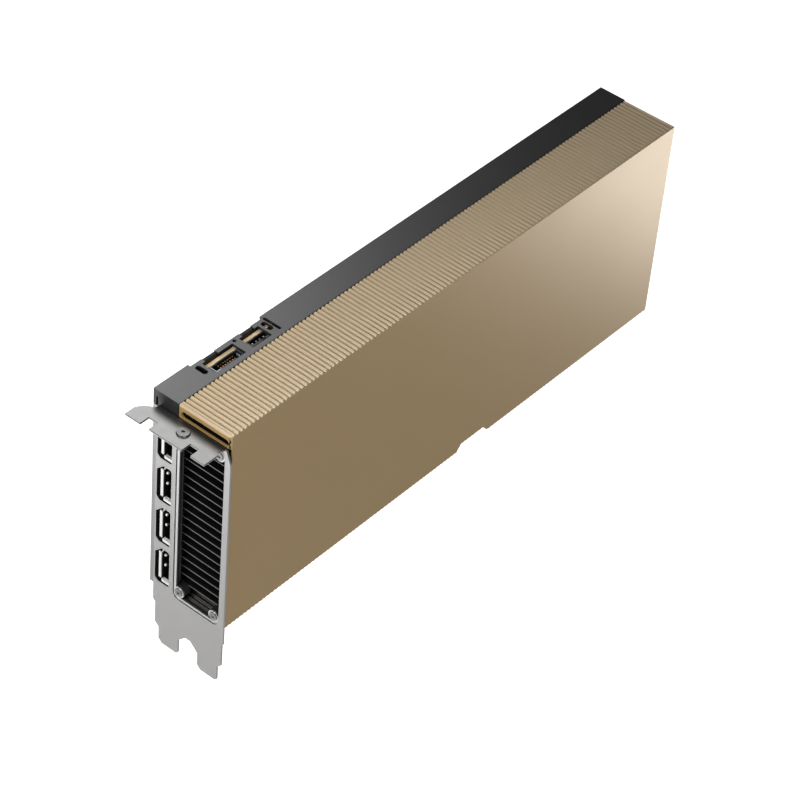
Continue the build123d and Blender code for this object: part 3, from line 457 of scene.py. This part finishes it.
def deselect() -> None:
    """Clears the selection, so that an operator reaches only what is picked next."""
    if bpy.context.object and bpy.context.object.mode != "OBJECT":
        bpy.ops.object.mode_set(mode="OBJECT")
    bpy.ops.object.select_all(action="DESELECT")


def activate(piece: bpy.types.Object) -> None:
    """Selects one piece alone and makes it the active one."""
    deselect()
    piece.select_set(True)
    bpy.context.view_layer.objects.active = piece


def block(name: str, low: Point, high: Point) -> bpy.types.Object:
    """Adds a cube primitive at its size and place, as the start of a piece.

    Args:
        name: The piece's name.
        low: Lowest corner in millimetres.
        high: Highest corner in millimetres.

    Returns:
        The piece, with its place in its mesh.
    """
    deselect()
    middle = [(a + b) / 2 * MM for a, b in zip(low, high)]
    size = [(b - a) * MM for a, b in zip(low, high)]
    bpy.ops.mesh.primitive_cube_add(size=1.0, location=middle, scale=size)
    piece = bpy.context.object
    piece.name = name
    bpy.ops.object.transform_apply(location=True, rotation=True, scale=True)
    return piece


class Bench:
    """Edit-mode work on one piece, with all places in millimetres."""

    def __init__(self, piece: bpy.types.Object) -> None:
        """Keeps the piece for the work in the with block."""
        self.piece = piece

    def __enter__(self) -> "Bench":
        """Opens the piece in edit mode."""
        activate(self.piece)
        bpy.ops.object.mode_set(mode="EDIT")
        return self

    def __exit__(self, *unused: object) -> None:
        """Closes edit mode."""
        bpy.ops.object.mode_set(mode="OBJECT")

    def _clear(self, kind: str) -> bmesh.types.BMesh:
        """Sets the select mode, clears the selection and returns the edit mesh."""
        bpy.ops.mesh.select_mode(type=kind)
        bpy.ops.mesh.select_all(action="DESELECT")
        return bmesh.from_edit_mesh(self.piece.data)

    def faces(self, test: Callable[[Vector, Vector], bool]) -> None:
        """Selects the faces whose middle and normal pass the test."""
        mesh = self._clear("FACE")
        for face in mesh.faces:
            if test(face.calc_center_median() / MM, face.normal):
                face.select_set(True)
        bmesh.update_edit_mesh(self.piece.data)

    def facing(self, side: Facing) -> None:
        """Selects the faces that look to one side."""
        self.faces(lambda middle, normal: normal.dot(Vector(side.value)) > STRAIGHT)

    def edges(self, test: Callable[[Vector, Vector], bool]) -> None:
        """Selects the edges whose two ends pass the test."""
        mesh = self._clear("EDGE")
        for edge in mesh.edges:
            if test(edge.verts[0].co / MM, edge.verts[1].co / MM):
                edge.select_set(True)
        bmesh.update_edit_mesh(self.piece.data)

    def points(self, test: Callable[[Vector], bool]) -> None:
        """Selects the vertices whose place passes the test."""
        mesh = self._clear("VERT")
        for point in mesh.verts:
            if test(point.co / MM):
                point.select_set(True)
        bmesh.update_edit_mesh(self.piece.data)

    def cut(self, place: Point, normal: Point) -> None:
        """Cuts the whole mesh along a plane and keeps both halves."""
        bpy.ops.mesh.select_all(action="SELECT")
        bpy.ops.mesh.bisect(plane_co=Vector(place) * MM, plane_no=normal)

    def extrude(self, move: Point) -> None:
        """Extrudes the selected faces or edges by a move."""
        bpy.ops.mesh.extrude_region_move(
            TRANSFORM_OT_translate={"value": Vector(move) * MM})

    def inset(self, width: float) -> None:
        """Insets the selected faces."""
        bpy.ops.mesh.inset(thickness=width * MM, depth=0.0)

    def bevel(self, width: float, segments: int = 2) -> None:
        """Bevels the selected edges."""
        bpy.ops.mesh.bevel(offset=width * MM, segments=segments, affect="EDGES")

    def shift(self, move: Point) -> None:
        """Moves what is selected."""
        bpy.ops.transform.translate(value=Vector(move) * MM)

    def scale(self, factors: Point, centre: Point) -> None:
        """Scales what is selected about a centre."""
        bpy.ops.transform.resize(value=factors, center_override=Vector(centre) * MM)

    def delete(self) -> None:
        """Deletes the selected faces."""
        bpy.ops.mesh.delete(type="FACE")


def apply_modifier(piece: bpy.types.Object, kind: str, **settings: object) -> None:
    """Adds a modifier with its settings and applies it.

    Args:
        piece: The piece that gets it.
        kind: The modifier's type.
        settings: Its properties.
    """
    activate(piece)
    modifier = piece.modifiers.new(kind.lower(), kind)
    for key, value in settings.items():
        setattr(modifier, key, value)
    bpy.ops.object.modifier_apply(modifier=modifier.name)


def soften(
    piece: bpy.types.Object, width: float, segments: int = 2, angle: float = 40.0
) -> None:
    """Rounds the sharp edges of a piece a little and shades it smooth.

    Args:
        piece: The piece.
        width: Width of the rounding in millimetres.
        segments: Steps of the rounding.
        angle: Edges sharper than this many degrees are rounded.
    """
    apply_modifier(piece, "BEVEL", width=width * MM, segments=segments,
                   limit_method="ANGLE", angle_limit=math.radians(angle))
    activate(piece)
    bpy.ops.object.shade_smooth_by_angle(angle=math.radians(angle))


def twin(piece: bpy.types.Object, name: str, move: Point) -> bpy.types.Object:
    """Copies a piece with its own mesh and moves the copy's mesh.

    Args:
        piece: The modelled piece.
        name: The copy's name.
        move: The copy's offset in millimetres.

    Returns:
        The copy.
    """
    activate(piece)
    bpy.ops.object.duplicate(linked=False)
    copy = bpy.context.object
    copy.name = name
    bpy.ops.transform.translate(value=Vector(move) * MM)
    bpy.ops.object.transform_apply(location=True, rotation=False, scale=False)
    return copy


def join(pieces: list[bpy.types.Object]) -> bpy.types.Object:
    """Joins pieces into the first of them and returns it."""
    activate(pieces[0])
    for piece in pieces:
        piece.select_set(True)
    bpy.ops.object.join()
    return pieces[0]


@dataclass
class Workshop:
    """What every sub-assembly needs: the finished materials and the CAD nodes' corners."""

    materials: dict[str, bpy.types.Material]

    def dress(self, piece: bpy.types.Object, slot: str, *replaced: str, finish: str = "",
              inner: str = "") -> bpy.types.Object:
        """Gives a new piece its finish, that of its slot unless another is named, and its body.

        Args:
            piece: The modelled piece.
            slot: The record's material slot.
            replaced: CAD nodes that the piece stands for.
            finish: Name of the finish, if it isn't the slot's own.
            inner: Finish of the faces with the second material index, if any.

        Returns:
            The piece.
        """
        wanted = [self.materials[name] for name in (finish or slot, inner) if name]
        for index, material in enumerate(wanted):
            if index < len(piece.data.materials):
                piece.data.materials[index] = material
            else:
                piece.data.materials.append(material)
        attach(piece, BODY)
        if replaced:
            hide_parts(*replaced)
        return piece

    def corners(self, node: str) -> tuple[Vector, Vector]:
        """Returns a CAD node's lowest and highest corner in millimetres."""
        low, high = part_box(node)
        return Vector(low) / MM, Vector(high) / MM


@dataclass
class Shroud:
    """The gold sheet: ribbed top and bottom, plain side and slotted front flange.

    Its sizes are in millimetres and its angle in degrees. profile, corner_shares and
    slot_corner are shares.
    """

    shop: Workshop
    pitch: float = 2.156
    profile: tuple[float, ...] = (0.0, 0.42, 0.76, 0.95, 1.0, 0.95, 0.76, 0.42, 0.0)
    joint_depth: float = 1.0
    edge_depth: float = 0.55
    edge_run: float = 3.0
    edge_round: float = 0.4
    corner_shares: tuple[float, float] = (0.9, 0.7)
    drop: float = 0.3
    wall: float = 0.7
    flange: float = 0.9
    flange_low: float = 105.1
    flange_round: float = 0.9
    slot_height: float = 3.1
    slot_width: float = 23.2
    slot_z: float = 107.1
    slot_corner: float = 0.48
    # Sizes of the black block behind the slot, painted shade that keeps the slot dark inside
    shade_block_gap: float = 0.1
    shade_block_depth: float = 0.8
    shade_block_margin: float = 0.6
    shade_block_half: float = 2.0
    shade_block_rim: float = 0.4
    shade_block_dish: float = 0.3
    shade_block_round: float = 0.08
    recess_start: float = 82.0
    recess_width: float = 19.6
    recess_slope: float = 2.4
    recess_height: float = 3.1
    recess_reach: float = 2.0
    weld: float = 0.01
    smooth_angle: float = 50.0

    def _rib(self, low: Vector, high: Vector) -> bpy.types.Object:
        """Models one pitch of the channel, with a rib above and a rib below.

        Args:
            low: Lowest corner of the shroud.
            high: Highest corner of the shroud.

        Returns:
            An open strip, one pitch long.
        """
        start = low.x + self.flange
        rib = block("shroud_skin", (start, low.y, low.z), (start + self.pitch, high.y, high.z))
        with Bench(rib) as bench:
            bench.faces(lambda middle, normal: abs(normal.x) > MOSTLY or normal.y > MOSTLY)
            bench.delete()
            bench.edges(lambda a, b: abs(a.y - low.y) < TINY and abs(b.y - low.y) < TINY
                        and abs(a.z - b.z) < TINY)
            bench.bevel(self.edge_round, segments=3)
            bench.cut((0.0, low.y + self.edge_run, 0.0), (0.0, 1.0, 0.0))
            step = self.pitch / (len(self.profile) - 1)
            for number in range(1, len(self.profile) - 1):
                bench.cut((start + step * number, 0.0, 0.0), (1.0, 0.0, 0.0))
            for number, height in enumerate(self.profile):
                self._sink(bench, start + step * number, 1.0 - height, low, high)
        return rib

    def _sink(self, bench: Bench, place: float, share: float, low: Vector, high: Vector) -> None:
        """Sinks one column of points of a rib, less at the shroud's long edge.

        Args:
            bench: The open bench.
            place: The column's place along X.
            share: Share of the full depth, 1 in the valley.
            low: Lowest corner of the shroud.
            high: Highest corner of the shroud.
        """
        run, corner = low.y + self.edge_run, low.y + self.edge_round
        middle_share, end_share = self.corner_shares
        for level, sign in ((high.z, -1.0), (low.z, 1.0)):
            rows = (
                (high.y - TINY, high.y + TINY, self.joint_depth),
                (run - TINY, run + TINY, self.edge_depth),
                (corner - TINY, corner + TINY, self.edge_depth),
                (low.y + TINY, corner - TINY, self.edge_depth * middle_share),
                (low.y - TINY, low.y + TINY, self.edge_depth * end_share),
            )
            for y_low, y_high, depth in rows:
                bench.points(lambda point: abs(point.x - place) < TINY
                             and y_low < point.y < y_high
                             and abs(point.z - level) < self.edge_round + TINY)
                if share > 0.0:
                    bench.shift((0.0, 0.0, sign * depth * share))

    def _trim(self, skin: bpy.types.Object, high: Vector) -> None:
        """Cuts the arrayed strip at the far end and makes its plain side one face.

        Args:
            skin: The arrayed strip.
            high: Highest corner of the shroud.
        """
        with Bench(skin) as bench:
            bpy.ops.mesh.select_all(action="SELECT")
            bpy.ops.mesh.bisect(plane_co=(high.x * MM, 0.0, 0.0), plane_no=(1.0, 0.0, 0.0),
                                clear_outer=True)
            bench.facing(Facing.SHROUD)
            bpy.ops.mesh.dissolve_faces()

    def _recess(self, skin: bpy.types.Object, low: Vector) -> None:
        """Presses the flat recess, with a slope at each end, into the ribbed bottom.

        Args:
            skin: The strip at its full length.
            low: Lowest corner of the shroud.
        """
        last = self.recess_start + self.recess_width
        step = self.pitch / (len(self.profile) - 1)
        reach = low.z + self.recess_reach
        with Bench(skin) as bench:
            bench.points(lambda point: self.recess_start < point.x < last and point.z < reach
                         and point.y > low.y + self.edge_round - TINY)
            bench.scale((1.0, 1.0, 0.0), (0.0, 0.0, low.z))
            inner = (self.recess_start + self.recess_slope, last - self.recess_slope)
            bench.points(lambda point: inner[0] < point.x < inner[1] and point.z < reach)
            bench.shift((0.0, 0.0, self.recess_height))
            for number in range(math.ceil(self.recess_slope / step)):
                for outer, side in ((self.recess_start, 1.0), (last, -1.0)):
                    near, far = sorted((outer + side * step * number,
                                        outer + side * step * (number + 1)))
                    far = min(far, outer + self.recess_slope) if side > 0.0 else far
                    near = near if side > 0.0 else max(near, outer - self.recess_slope)
                    share = step * (number + 0.5) / self.recess_slope
                    bench.points(lambda point: near < point.x < far and point.z < reach)
                    bench.shift((0.0, 0.0, self.recess_height * share))

    def _front(self, low: Vector, high: Vector) -> bpy.types.Object:
        """Models the front flange with its long slot.

        Args:
            low: Lowest corner of the shroud.
            high: Highest corner of the shroud.

        Returns:
            The flange.
        """
        front = block("shroud_front", (low.x, low.y, self.flange_low),
                      (low.x + self.flange, high.y, high.z))
        middle = (low.y + high.y) / 2
        sides = (middle - self.slot_width / 2, middle + self.slot_width / 2)
        levels = (self.slot_z - self.slot_height / 2, self.slot_z + self.slot_height / 2)
        with Bench(front) as bench:
            for side in sides:
                bench.cut((0.0, side, 0.0), (0.0, 1.0, 0.0))
            for level in levels:
                bench.cut((0.0, 0.0, level), (0.0, 0.0, 1.0))
            bench.faces(lambda centre, normal: abs(normal.x) > MOSTLY
                        and sides[0] < centre.y < sides[1]
                        and levels[0] < centre.z < levels[1])
            bpy.ops.mesh.bridge_edge_loops()
            bench.edges(lambda a, b: abs(a.x - b.x) > self.flange / 2
                        and min(abs(a.y - side) for side in sides) < TINY
                        and min(abs(a.z - level) for level in levels) < TINY)
            bench.bevel(self.slot_height * self.slot_corner, segments=5)
            bench.edges(lambda a, b: abs(a.x - low.x) < TINY and abs(b.x - low.x) < TINY
                        and ((abs(a.z - high.z) < TINY and abs(b.z - high.z) < TINY)
                             or (abs(a.y - low.y) < TINY and abs(b.y - low.y) < TINY)))
            bench.bevel(self.flange_round, segments=4)
        return front

    def _shade(self, low: Vector, high: Vector) -> bpy.types.Object:
        """Models a black block behind the flange's slot, painted shade that keeps the slot dark
        inside, and returns it.
        """
        middle = (low.y + high.y) / 2
        back = low.x + self.flange + self.shade_block_gap
        strip = block("slot_foam",
                      (back, middle - self.slot_width / 2 - self.shade_block_margin,
                       self.slot_z - self.shade_block_half),
                      (back + self.shade_block_depth, middle + self.slot_width / 2 + self.shade_block_margin,
                       self.slot_z + self.shade_block_half))
        with Bench(strip) as bench:
            bench.facing(Facing.BRACKET)
            bench.inset(self.shade_block_rim)
            bench.shift((self.shade_block_dish, 0.0, 0.0))
        soften(strip, self.shade_block_round)
        return self.shop.dress(strip, "port_plastic", finish="deep_black")

    def build(self) -> bpy.types.Object:
        """Builds the shroud in place of its CAD node and returns it."""
        low, high = self.shop.corners("shroud")
        low.z -= self.drop
        skin = self._rib(low, high)
        count = math.ceil((high.x - low.x - self.flange) / self.pitch)
        apply_modifier(skin, "ARRAY", count=count, use_relative_offset=False,
                       use_constant_offset=True,
                       constant_offset_displace=(self.pitch * MM, 0.0, 0.0),
                       use_merge_vertices=True, merge_threshold=self.weld * MM)
        self._trim(skin, high)
        self._recess(skin, low)
        for name in ("gold_shell", "gold_inside"):
            skin.data.materials.append(self.shop.materials[name])
        apply_modifier(skin, "SOLIDIFY", thickness=self.wall * MM, offset=-1.0,
                       material_offset=1, material_offset_rim=0)
        self._shade(low, high)
        front = self._front(low, high)
        front.data.materials.append(self.shop.materials["gold_shell"])
        skin = join([skin, front])
        activate(skin)
        bpy.ops.object.shade_smooth_by_angle(angle=math.radians(self.smooth_angle))
        apply_modifier(skin, "WEIGHTED_NORMAL", keep_sharp=True)
        return self.shop.dress(skin, "gold_shell", "shroud", inner="gold_inside")


@dataclass
class DisplayPorts:
    """The small parts inside the four display ports.

    Sizes are in millimetres and the angle in degrees. nub_rim and nub_round are shares. The
    arm's and the lips' places along X are counted from the front of the collars, the lips'
    levels from the port's middle.
    """

    shop: Workshop
    count: int = 4
    pitch: float = 21.05
    first_middle: float = 9.3
    bar_height: float = 1.25
    bar_drop: float = 8.2
    bar_start: float = -3.35
    bar_width: float = 3.75
    bar_inset: float = 0.2
    bar_grooves: int = 5
    bar_depth: float = 1.3
    groove_rim: float = 0.04
    groove_depth: float = 0.22
    spring_y: float = -4.95
    spring_heights: tuple[float, float] = (6.3, 1.2)
    nub: float = 0.82
    nub_inset: float = 0.25
    nub_rim: float = 0.45
    nub_crown: float = 0.12
    nub_round: float = 0.22
    nub_angle: float = 30.0
    arm_run: tuple[float, float, float] = (0.9, 3.0, 5.4)
    arm_sides: tuple[float, float] = (0.5, 0.1)
    arm_bend: tuple[float, float] = (0.9, 1.6)
    lip_y: float = -3.3
    lip_t: float = 0.25
    lip_run: tuple[float, float] = (0.3, 1.5)
    lip_lean: float = 0.3
    lip_round: float = 0.06
    lips: tuple[tuple[float, float], ...] = ((7.1, 1.5), (-7.4, 0.8))

    def _bar(self, front: float, level: float) -> bpy.types.Object:
        """Models the ribbed contact bar in the port's lower corner.

        Args:
            front: The front of the collars along X.
            level: The port's middle height.

        Returns:
            The bar.
        """
        low = (front + self.bar_inset, self.bar_start - self.bar_width, level - self.bar_drop)
        high = (front + self.bar_inset + self.bar_depth, self.bar_start,
                level - self.bar_drop + self.bar_height)
        bar = block("port_bar_1", low, high)
        with Bench(bar) as bench:
            for number in range(1, 2 * self.bar_grooves):
                place = low[1] + self.bar_width * number / (2 * self.bar_grooves)
                bench.cut((0.0, place, 0.0), (0.0, 1.0, 0.0))
            step = self.bar_width / (2 * self.bar_grooves)
            bench.faces(lambda middle, normal: (normal.z > MOSTLY or normal.x < -MOSTLY)
                        and int((middle.y - low[1]) / step) % 2 == 1)
            bench.inset(self.groove_rim)
            bpy.ops.mesh.extrude_region_shrink_fatten(
                TRANSFORM_OT_shrink_fatten={"value": -self.groove_depth * MM})
        return bar

    def _nub(self, front: float, level: float) -> bpy.types.Object:
        """Models the bright tip of one spring and returns it."""
        half = self.nub / 2
        start = front + self.nub_inset
        nub = block("port_nub_1", (start, self.spring_y - half, level - half),
                    (start + self.nub, self.spring_y + half, level + half))
        with Bench(nub) as bench:
            bench.facing(Facing.BRACKET)
            bench.inset(half * self.nub_rim)
            bench.shift((-self.nub_crown, 0.0, 0.0))
        soften(nub, self.nub * self.nub_round, 3, self.nub_angle)
        return nub

    def _arm(self, front: float, level: float) -> bpy.types.Object:
        """Models the dark arm that carries a spring's tip and returns it."""
        half = self.nub / 2
        start, knee, end = (front + run for run in self.arm_run)
        arm = block("port_arm_1", (start, self.spring_y - self.arm_sides[0], level - half),
                    (end, self.spring_y + self.arm_sides[1], level + half))
        with Bench(arm) as bench:
            bench.cut((knee, 0.0, 0.0), (1.0, 0.0, 0.0))
            for place, bend in ((end, self.arm_bend[1]), (knee, self.arm_bend[0])):
                bench.points(lambda point: abs(point.x - place) < TINY)
                bench.shift((0.0, -bend, 0.0))
        return arm

    def _lip(self, front: float, level: float, rise: float, height: float) -> bpy.types.Object:
        """Models a thin plated lip between the tongue and the collar and returns it."""
        lip = block("port_lip_1",
                    (front + self.lip_run[0], self.lip_y - self.lip_t, level + rise),
                    (front + self.lip_run[1], self.lip_y, level + rise + height))
        with Bench(lip) as bench:
            bench.facing(Facing.UP)
            bench.shift((0.0, -self.lip_lean, 0.0))
        soften(lip, self.lip_round)
        return lip

    def build(self) -> list[bpy.types.Object]:
        """Builds the first port's parts and copies them to the others."""
        collar = self.shop.corners("port_collars")[0]
        front, level = collar.x, collar.z + self.first_middle
        firsts = [(self._bar(front, level), "port_metal", "port_bar")]
        for rise, height in self.lips:
            firsts.append((self._lip(front, level, rise, height), "port_metal", "port_bar"))
        for height in self.spring_heights:
            firsts.append((self._nub(front, level + height), "port_contact", ""))
            firsts.append((self._arm(front, level + height), "port_plastic", ""))
        pieces = []
        for number, (piece, slot, finish) in enumerate(firsts):
            base = piece.name.rsplit("_", 1)[0]
            for port in range(1, self.count):
                copy = twin(piece, f"{base}_{number}_{port + 1}", (0.0, 0.0, self.pitch * port))
                pieces.append(self.shop.dress(copy, slot, finish=finish))
            piece.name = f"{base}_{number}_1"
            pieces.append(self.shop.dress(piece, slot, finish=finish))
        return pieces


@dataclass
class Headers:
    """The small parts of the two headers under the top cover, with sizes in millimetres."""

    shop: Workshop
    pin_reach: float = 0.18
    floor_margin: tuple[float, float] = (0.9, 0.7)
    floor_depth: float = 2.2
    floor_rim: float = 0.3
    floor_dish: float = 0.05
    floor_round: float = 0.06
    lens_place: Point = (-36.8, -2.1, 109.0)
    lens_size: Point = (2.8, 5.8, 1.2)
    lens_rim: float = 0.5
    lens_crown: float = 0.25
    lens_round: float = 0.15
    key_x: float = 38.6
    key_side: float = 0.35
    key_low: float = 1.5
    key_top: float = 0.3
    key_width: float = 2.1
    key_t: float = 0.5
    key_rim: float = 0.12
    key_crown: float = 0.1
    rail_start: float = 0.8
    rail_end: float = 0.2
    rail_width: float = 0.35
    rail_sink: float = 0.15
    rail_rise: float = 0.12
    hook_length: float = 0.15
    hook_reach: float = 2.6
    hook_pick: float = 0.25
    trim_round: float = 0.05

    def _key(self) -> bpy.types.Object:
        """Models the key of the larger header and returns it."""
        low, high = self.shop.corners("sync_shell")
        start = self.shop.corners("port_collars")[0].x + self.key_x
        side = low.y + self.key_side
        key = block("sync_key", (start, side, low.z + self.key_low),
                    (start + self.key_t, side + self.key_width, high.z - self.key_top))
        with Bench(key) as bench:
            bench.facing(Facing.UP)
            bench.inset(self.key_rim)
            bench.shift((0.0, 0.0, self.key_crown))
        soften(key, self.trim_round)
        return self.shop.dress(key, "header_metal")

    def _rail(self) -> bpy.types.Object:
        """Models the hooked rail along the smaller header's side and returns it."""
        low, high = self.shop.corners("stereo_body")
        rail = block("stereo_rail",
                     (low.x + self.rail_start, high.y - self.rail_width,
                      high.z - self.rail_sink),
                     (high.x - self.rail_end, high.y, high.z + self.rail_rise))
        with Bench(rail) as bench:
            bench.facing(Facing.FAR_END)
            bench.extrude((self.hook_length, 0.0, 0.0))
            bench.faces(lambda middle, normal: normal.y < -MOSTLY
                        and middle.x > high.x - self.hook_pick)
            bench.extrude((0.0, -self.hook_reach, 0.0))
        soften(rail, self.trim_round)
        return self.shop.dress(rail, "header_plastic", finish="stereo_grey")

    def _floor(self, name: str, shell: str, pins: str) -> bpy.types.Object:
        """Models the moulded floor that the pin tips of a header stand out of.

        Args:
            name: The header's name.
            shell: The CAD node round the pins.
            pins: The CAD node of the pins.

        Returns:
            The floor.
        """
        low, high = self.shop.corners(shell)
        top = self.shop.corners(pins)[1].z
        along, across = self.floor_margin
        floor = block(f"{name}_floor",
                      (low.x + along, low.y + across, top - self.floor_depth),
                      (high.x - along, high.y - across, top - self.pin_reach))
        with Bench(floor) as bench:
            bench.facing(Facing.UP)
            bench.inset(self.floor_rim)
            bench.shift((0.0, 0.0, -self.floor_dish))
        soften(floor, self.floor_round)
        # The floor is black plastic; its finish without gloss is painted shade under the cover
        return self.shop.dress(floor, "header_plastic", finish="deep_black")

    def _lens(self) -> bpy.types.Object:
        """Models the dark lens under the cover's oval slot, whose black without gloss is painted
        shade, and returns it.
        """
        half = Vector(self.lens_size) / 2
        middle = Vector(self.lens_place)
        lens = block("slot_lens", tuple(middle - half), tuple(middle + half))
        with Bench(lens) as bench:
            bench.facing(Facing.UP)
            bench.inset(self.lens_rim)
            bench.shift((0.0, 0.0, self.lens_crown))
        soften(lens, self.lens_round, 3)
        return self.shop.dress(lens, "header_plastic", finish="deep_black")

    def build(self) -> list[bpy.types.Object]:
        """Builds the key, the rail, the two floors and the lens."""
        pieces = [self._key(), self._rail()]
        for name, shell in (("sync", "sync_shell"), ("stereo", "stereo_body")):
            pieces.append(self._floor(name, shell, f"{name}_pins"))
        pieces.append(self._lens())
        return pieces


# Studio


@dataclass(frozen=True)
class Softbox:
    """A large plain area lamp that looks at the card."""

    name: str
    place: Point
    size: float
    power: float
    colour: Colour = (1.0, 1.0, 1.0)
    aim: Point = (0.075, -0.016, 0.06)

    def build(self) -> None:
        """Adds the lamp, unseen by the camera."""
        data = bpy.data.lights.new(self.name, "AREA")
        data.shape = "DISK"
        data.size = self.size
        data.energy = self.power
        data.color = self.colour
        lamp = bpy.data.objects.new(self.name, data)
        bpy.context.scene.collection.objects.link(lamp)
        lamp.location = self.place
        towards = Vector(self.aim) - Vector(self.place)
        lamp.rotation_euler = towards.to_track_quat("-Z", "Y").to_euler()
        lamp.visible_camera = False


LAMPS = (
    Softbox("top_lamp", (0.48, 0.74, 0.94), 0.65, 5.8),
    Softbox("glow_lamp", (0.75, -0.35, -0.28), 0.4, 2.6, aim=(0.75, -0.35, 1.0)),
    Softbox("rib_lamp", (-0.14, 0.0, 0.34), 0.22, 0.6, aim=(-0.09, -0.02, 0.11)),
    Softbox("front_lamp", (-0.38, 0.0, 0.26), 0.25, 1.2, aim=(-0.05, -0.02, 0.11)),
    Softbox("end_lamp", (-0.6, 0.35, -0.2), 0.5, 2.9, aim=(-0.057, -0.02, 0.06)),
    Softbox("side_lamp", (-0.4, -0.9, 0.1), 0.8, 5.8, aim=(0.0, -0.03, 0.05)),
)


@dataclass
class Studio:
    """Camera, floor, world and lamps, with places in metres.

    seen is the strength of floor and world to the camera alone, and dim is what the world gives
    the card and what the floor adds in reflections.
    """

    floor_z: float = -0.3
    floor_size: float = 12.0
    floor_grey: Colour = (0.8, 0.8, 0.8)
    floor_roughness: float = 0.9
    seen: float = 0.95
    dim: float = 0.05
    lens: float = 133.545
    sensor: float = 36.0
    clip: tuple[float, float] = (0.01, 100.0)
    eye: Point = (-0.643559, -0.546754, 0.817316)
    right: Point = (0.645536, -0.760531, 0.069832)
    down: Point = (-0.469900, -0.467594, -0.748699)
    ahead: Point = (0.602061, 0.450498, -0.659222)

    def camera(self) -> None:
        """Puts the camera where the photograph was taken from."""
        data = bpy.data.cameras.new("camera")
        data.lens = self.lens
        data.sensor_width = self.sensor
        data.clip_start, data.clip_end = self.clip
        camera = bpy.data.objects.new("camera", data)
        bpy.context.scene.collection.objects.link(camera)
        columns = (Vector(self.right), -Vector(self.down), -Vector(self.ahead))
        turn = Matrix(columns).transposed().to_4x4()
        camera.matrix_world = Matrix.Translation(self.eye) @ turn
        bpy.context.scene.camera = camera

    def floor(self) -> None:
        """Lays the pale floor."""
        bpy.ops.object.select_all(action="DESELECT")
        bpy.ops.mesh.primitive_plane_add(size=self.floor_size,
                                         location=(0.0, 0.0, self.floor_z))
        floor = bpy.context.object
        floor.name = "floor"
        material = bpy.data.materials.new("floor")
        material.use_nodes = True
        tree = material.node_tree
        shader = tree.nodes["Principled BSDF"]
        shader.inputs["Base Color"].default_value = (*self.floor_grey, 1.0)
        shader.inputs["Roughness"].default_value = self.floor_roughness
        shader.inputs["Emission Color"].default_value = (1.0, 1.0, 1.0, 1.0)
        path = tree.nodes.new("ShaderNodeLightPath")
        seen = math_node(tree, "MULTIPLY", path.outputs["Is Camera Ray"], self.seen)
        glossy = math_node(tree, "MULTIPLY", path.outputs["Is Glossy Ray"], self.dim)
        total = math_node(tree, "ADD", seen, glossy)
        tree.links.new(total, shader.inputs["Emission Strength"])
        floor.data.materials.append(material)

    def world(self) -> None:
        """Sets a dim even world that the camera sees as white."""
        world = bpy.data.worlds.new("studio")
        bpy.context.scene.world = world
        world.use_nodes = True
        tree = world.node_tree
        back = tree.nodes["Background"]
        path = tree.nodes.new("ShaderNodeLightPath")
        white = math_node(tree, "MULTIPLY", path.outputs["Is Camera Ray"], self.seen)
        strength = math_node(tree, "ADD", white, self.dim)
        tree.links.new(strength, back.inputs["Strength"])
        back.inputs["Color"].default_value = (1.0, 1.0, 1.0, 1.0)

    def build(self) -> None:
        """Builds the whole studio."""
        self.camera()
        self.floor()
        self.world()
        for lamp in LAMPS:
            lamp.build()
        bpy.context.scene.view_settings.view_transform = "Standard"


def dress_nodes(frame: dict, materials: dict[str, bpy.types.Material]) -> None:
    """Gives each CAD node the finish of its slot, or its own from NODE_FINISHES.

    Args:
        frame: The loaded frame.
        materials: The materials by finish.
    """
    for row in frame["record"]["subparts"]:
        node = frame["nodes"][row["node"]]
        finish = NODE_FINISHES.get(row["node"], row["material_slot"])
        for slot in node.material_slots:
            slot.material = materials[finish]


def main() -> None:
    """Builds and dresses the card, then the studio round it."""
    logging.basicConfig(level=logging.INFO, format="%(name)s: %(message)s")
    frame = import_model()
    effects = Effects.build()
    materials = {name: finish.build(effects) for name, finish in FINISHES.items()}
    dress_nodes(frame, materials)
    LOG.info("dressed %d nodes", len(frame["nodes"]))
    shop = Workshop(materials)
    LOG.info("built %s", Shroud(shop).build().name)
    LOG.info("built %d port parts", len(DisplayPorts(shop).build()))
    LOG.info("built %d header parts", len(Headers(shop).build()))
    Studio().build()
    LOG.info("built the studio")


if __name__ == "__main__":
    main()
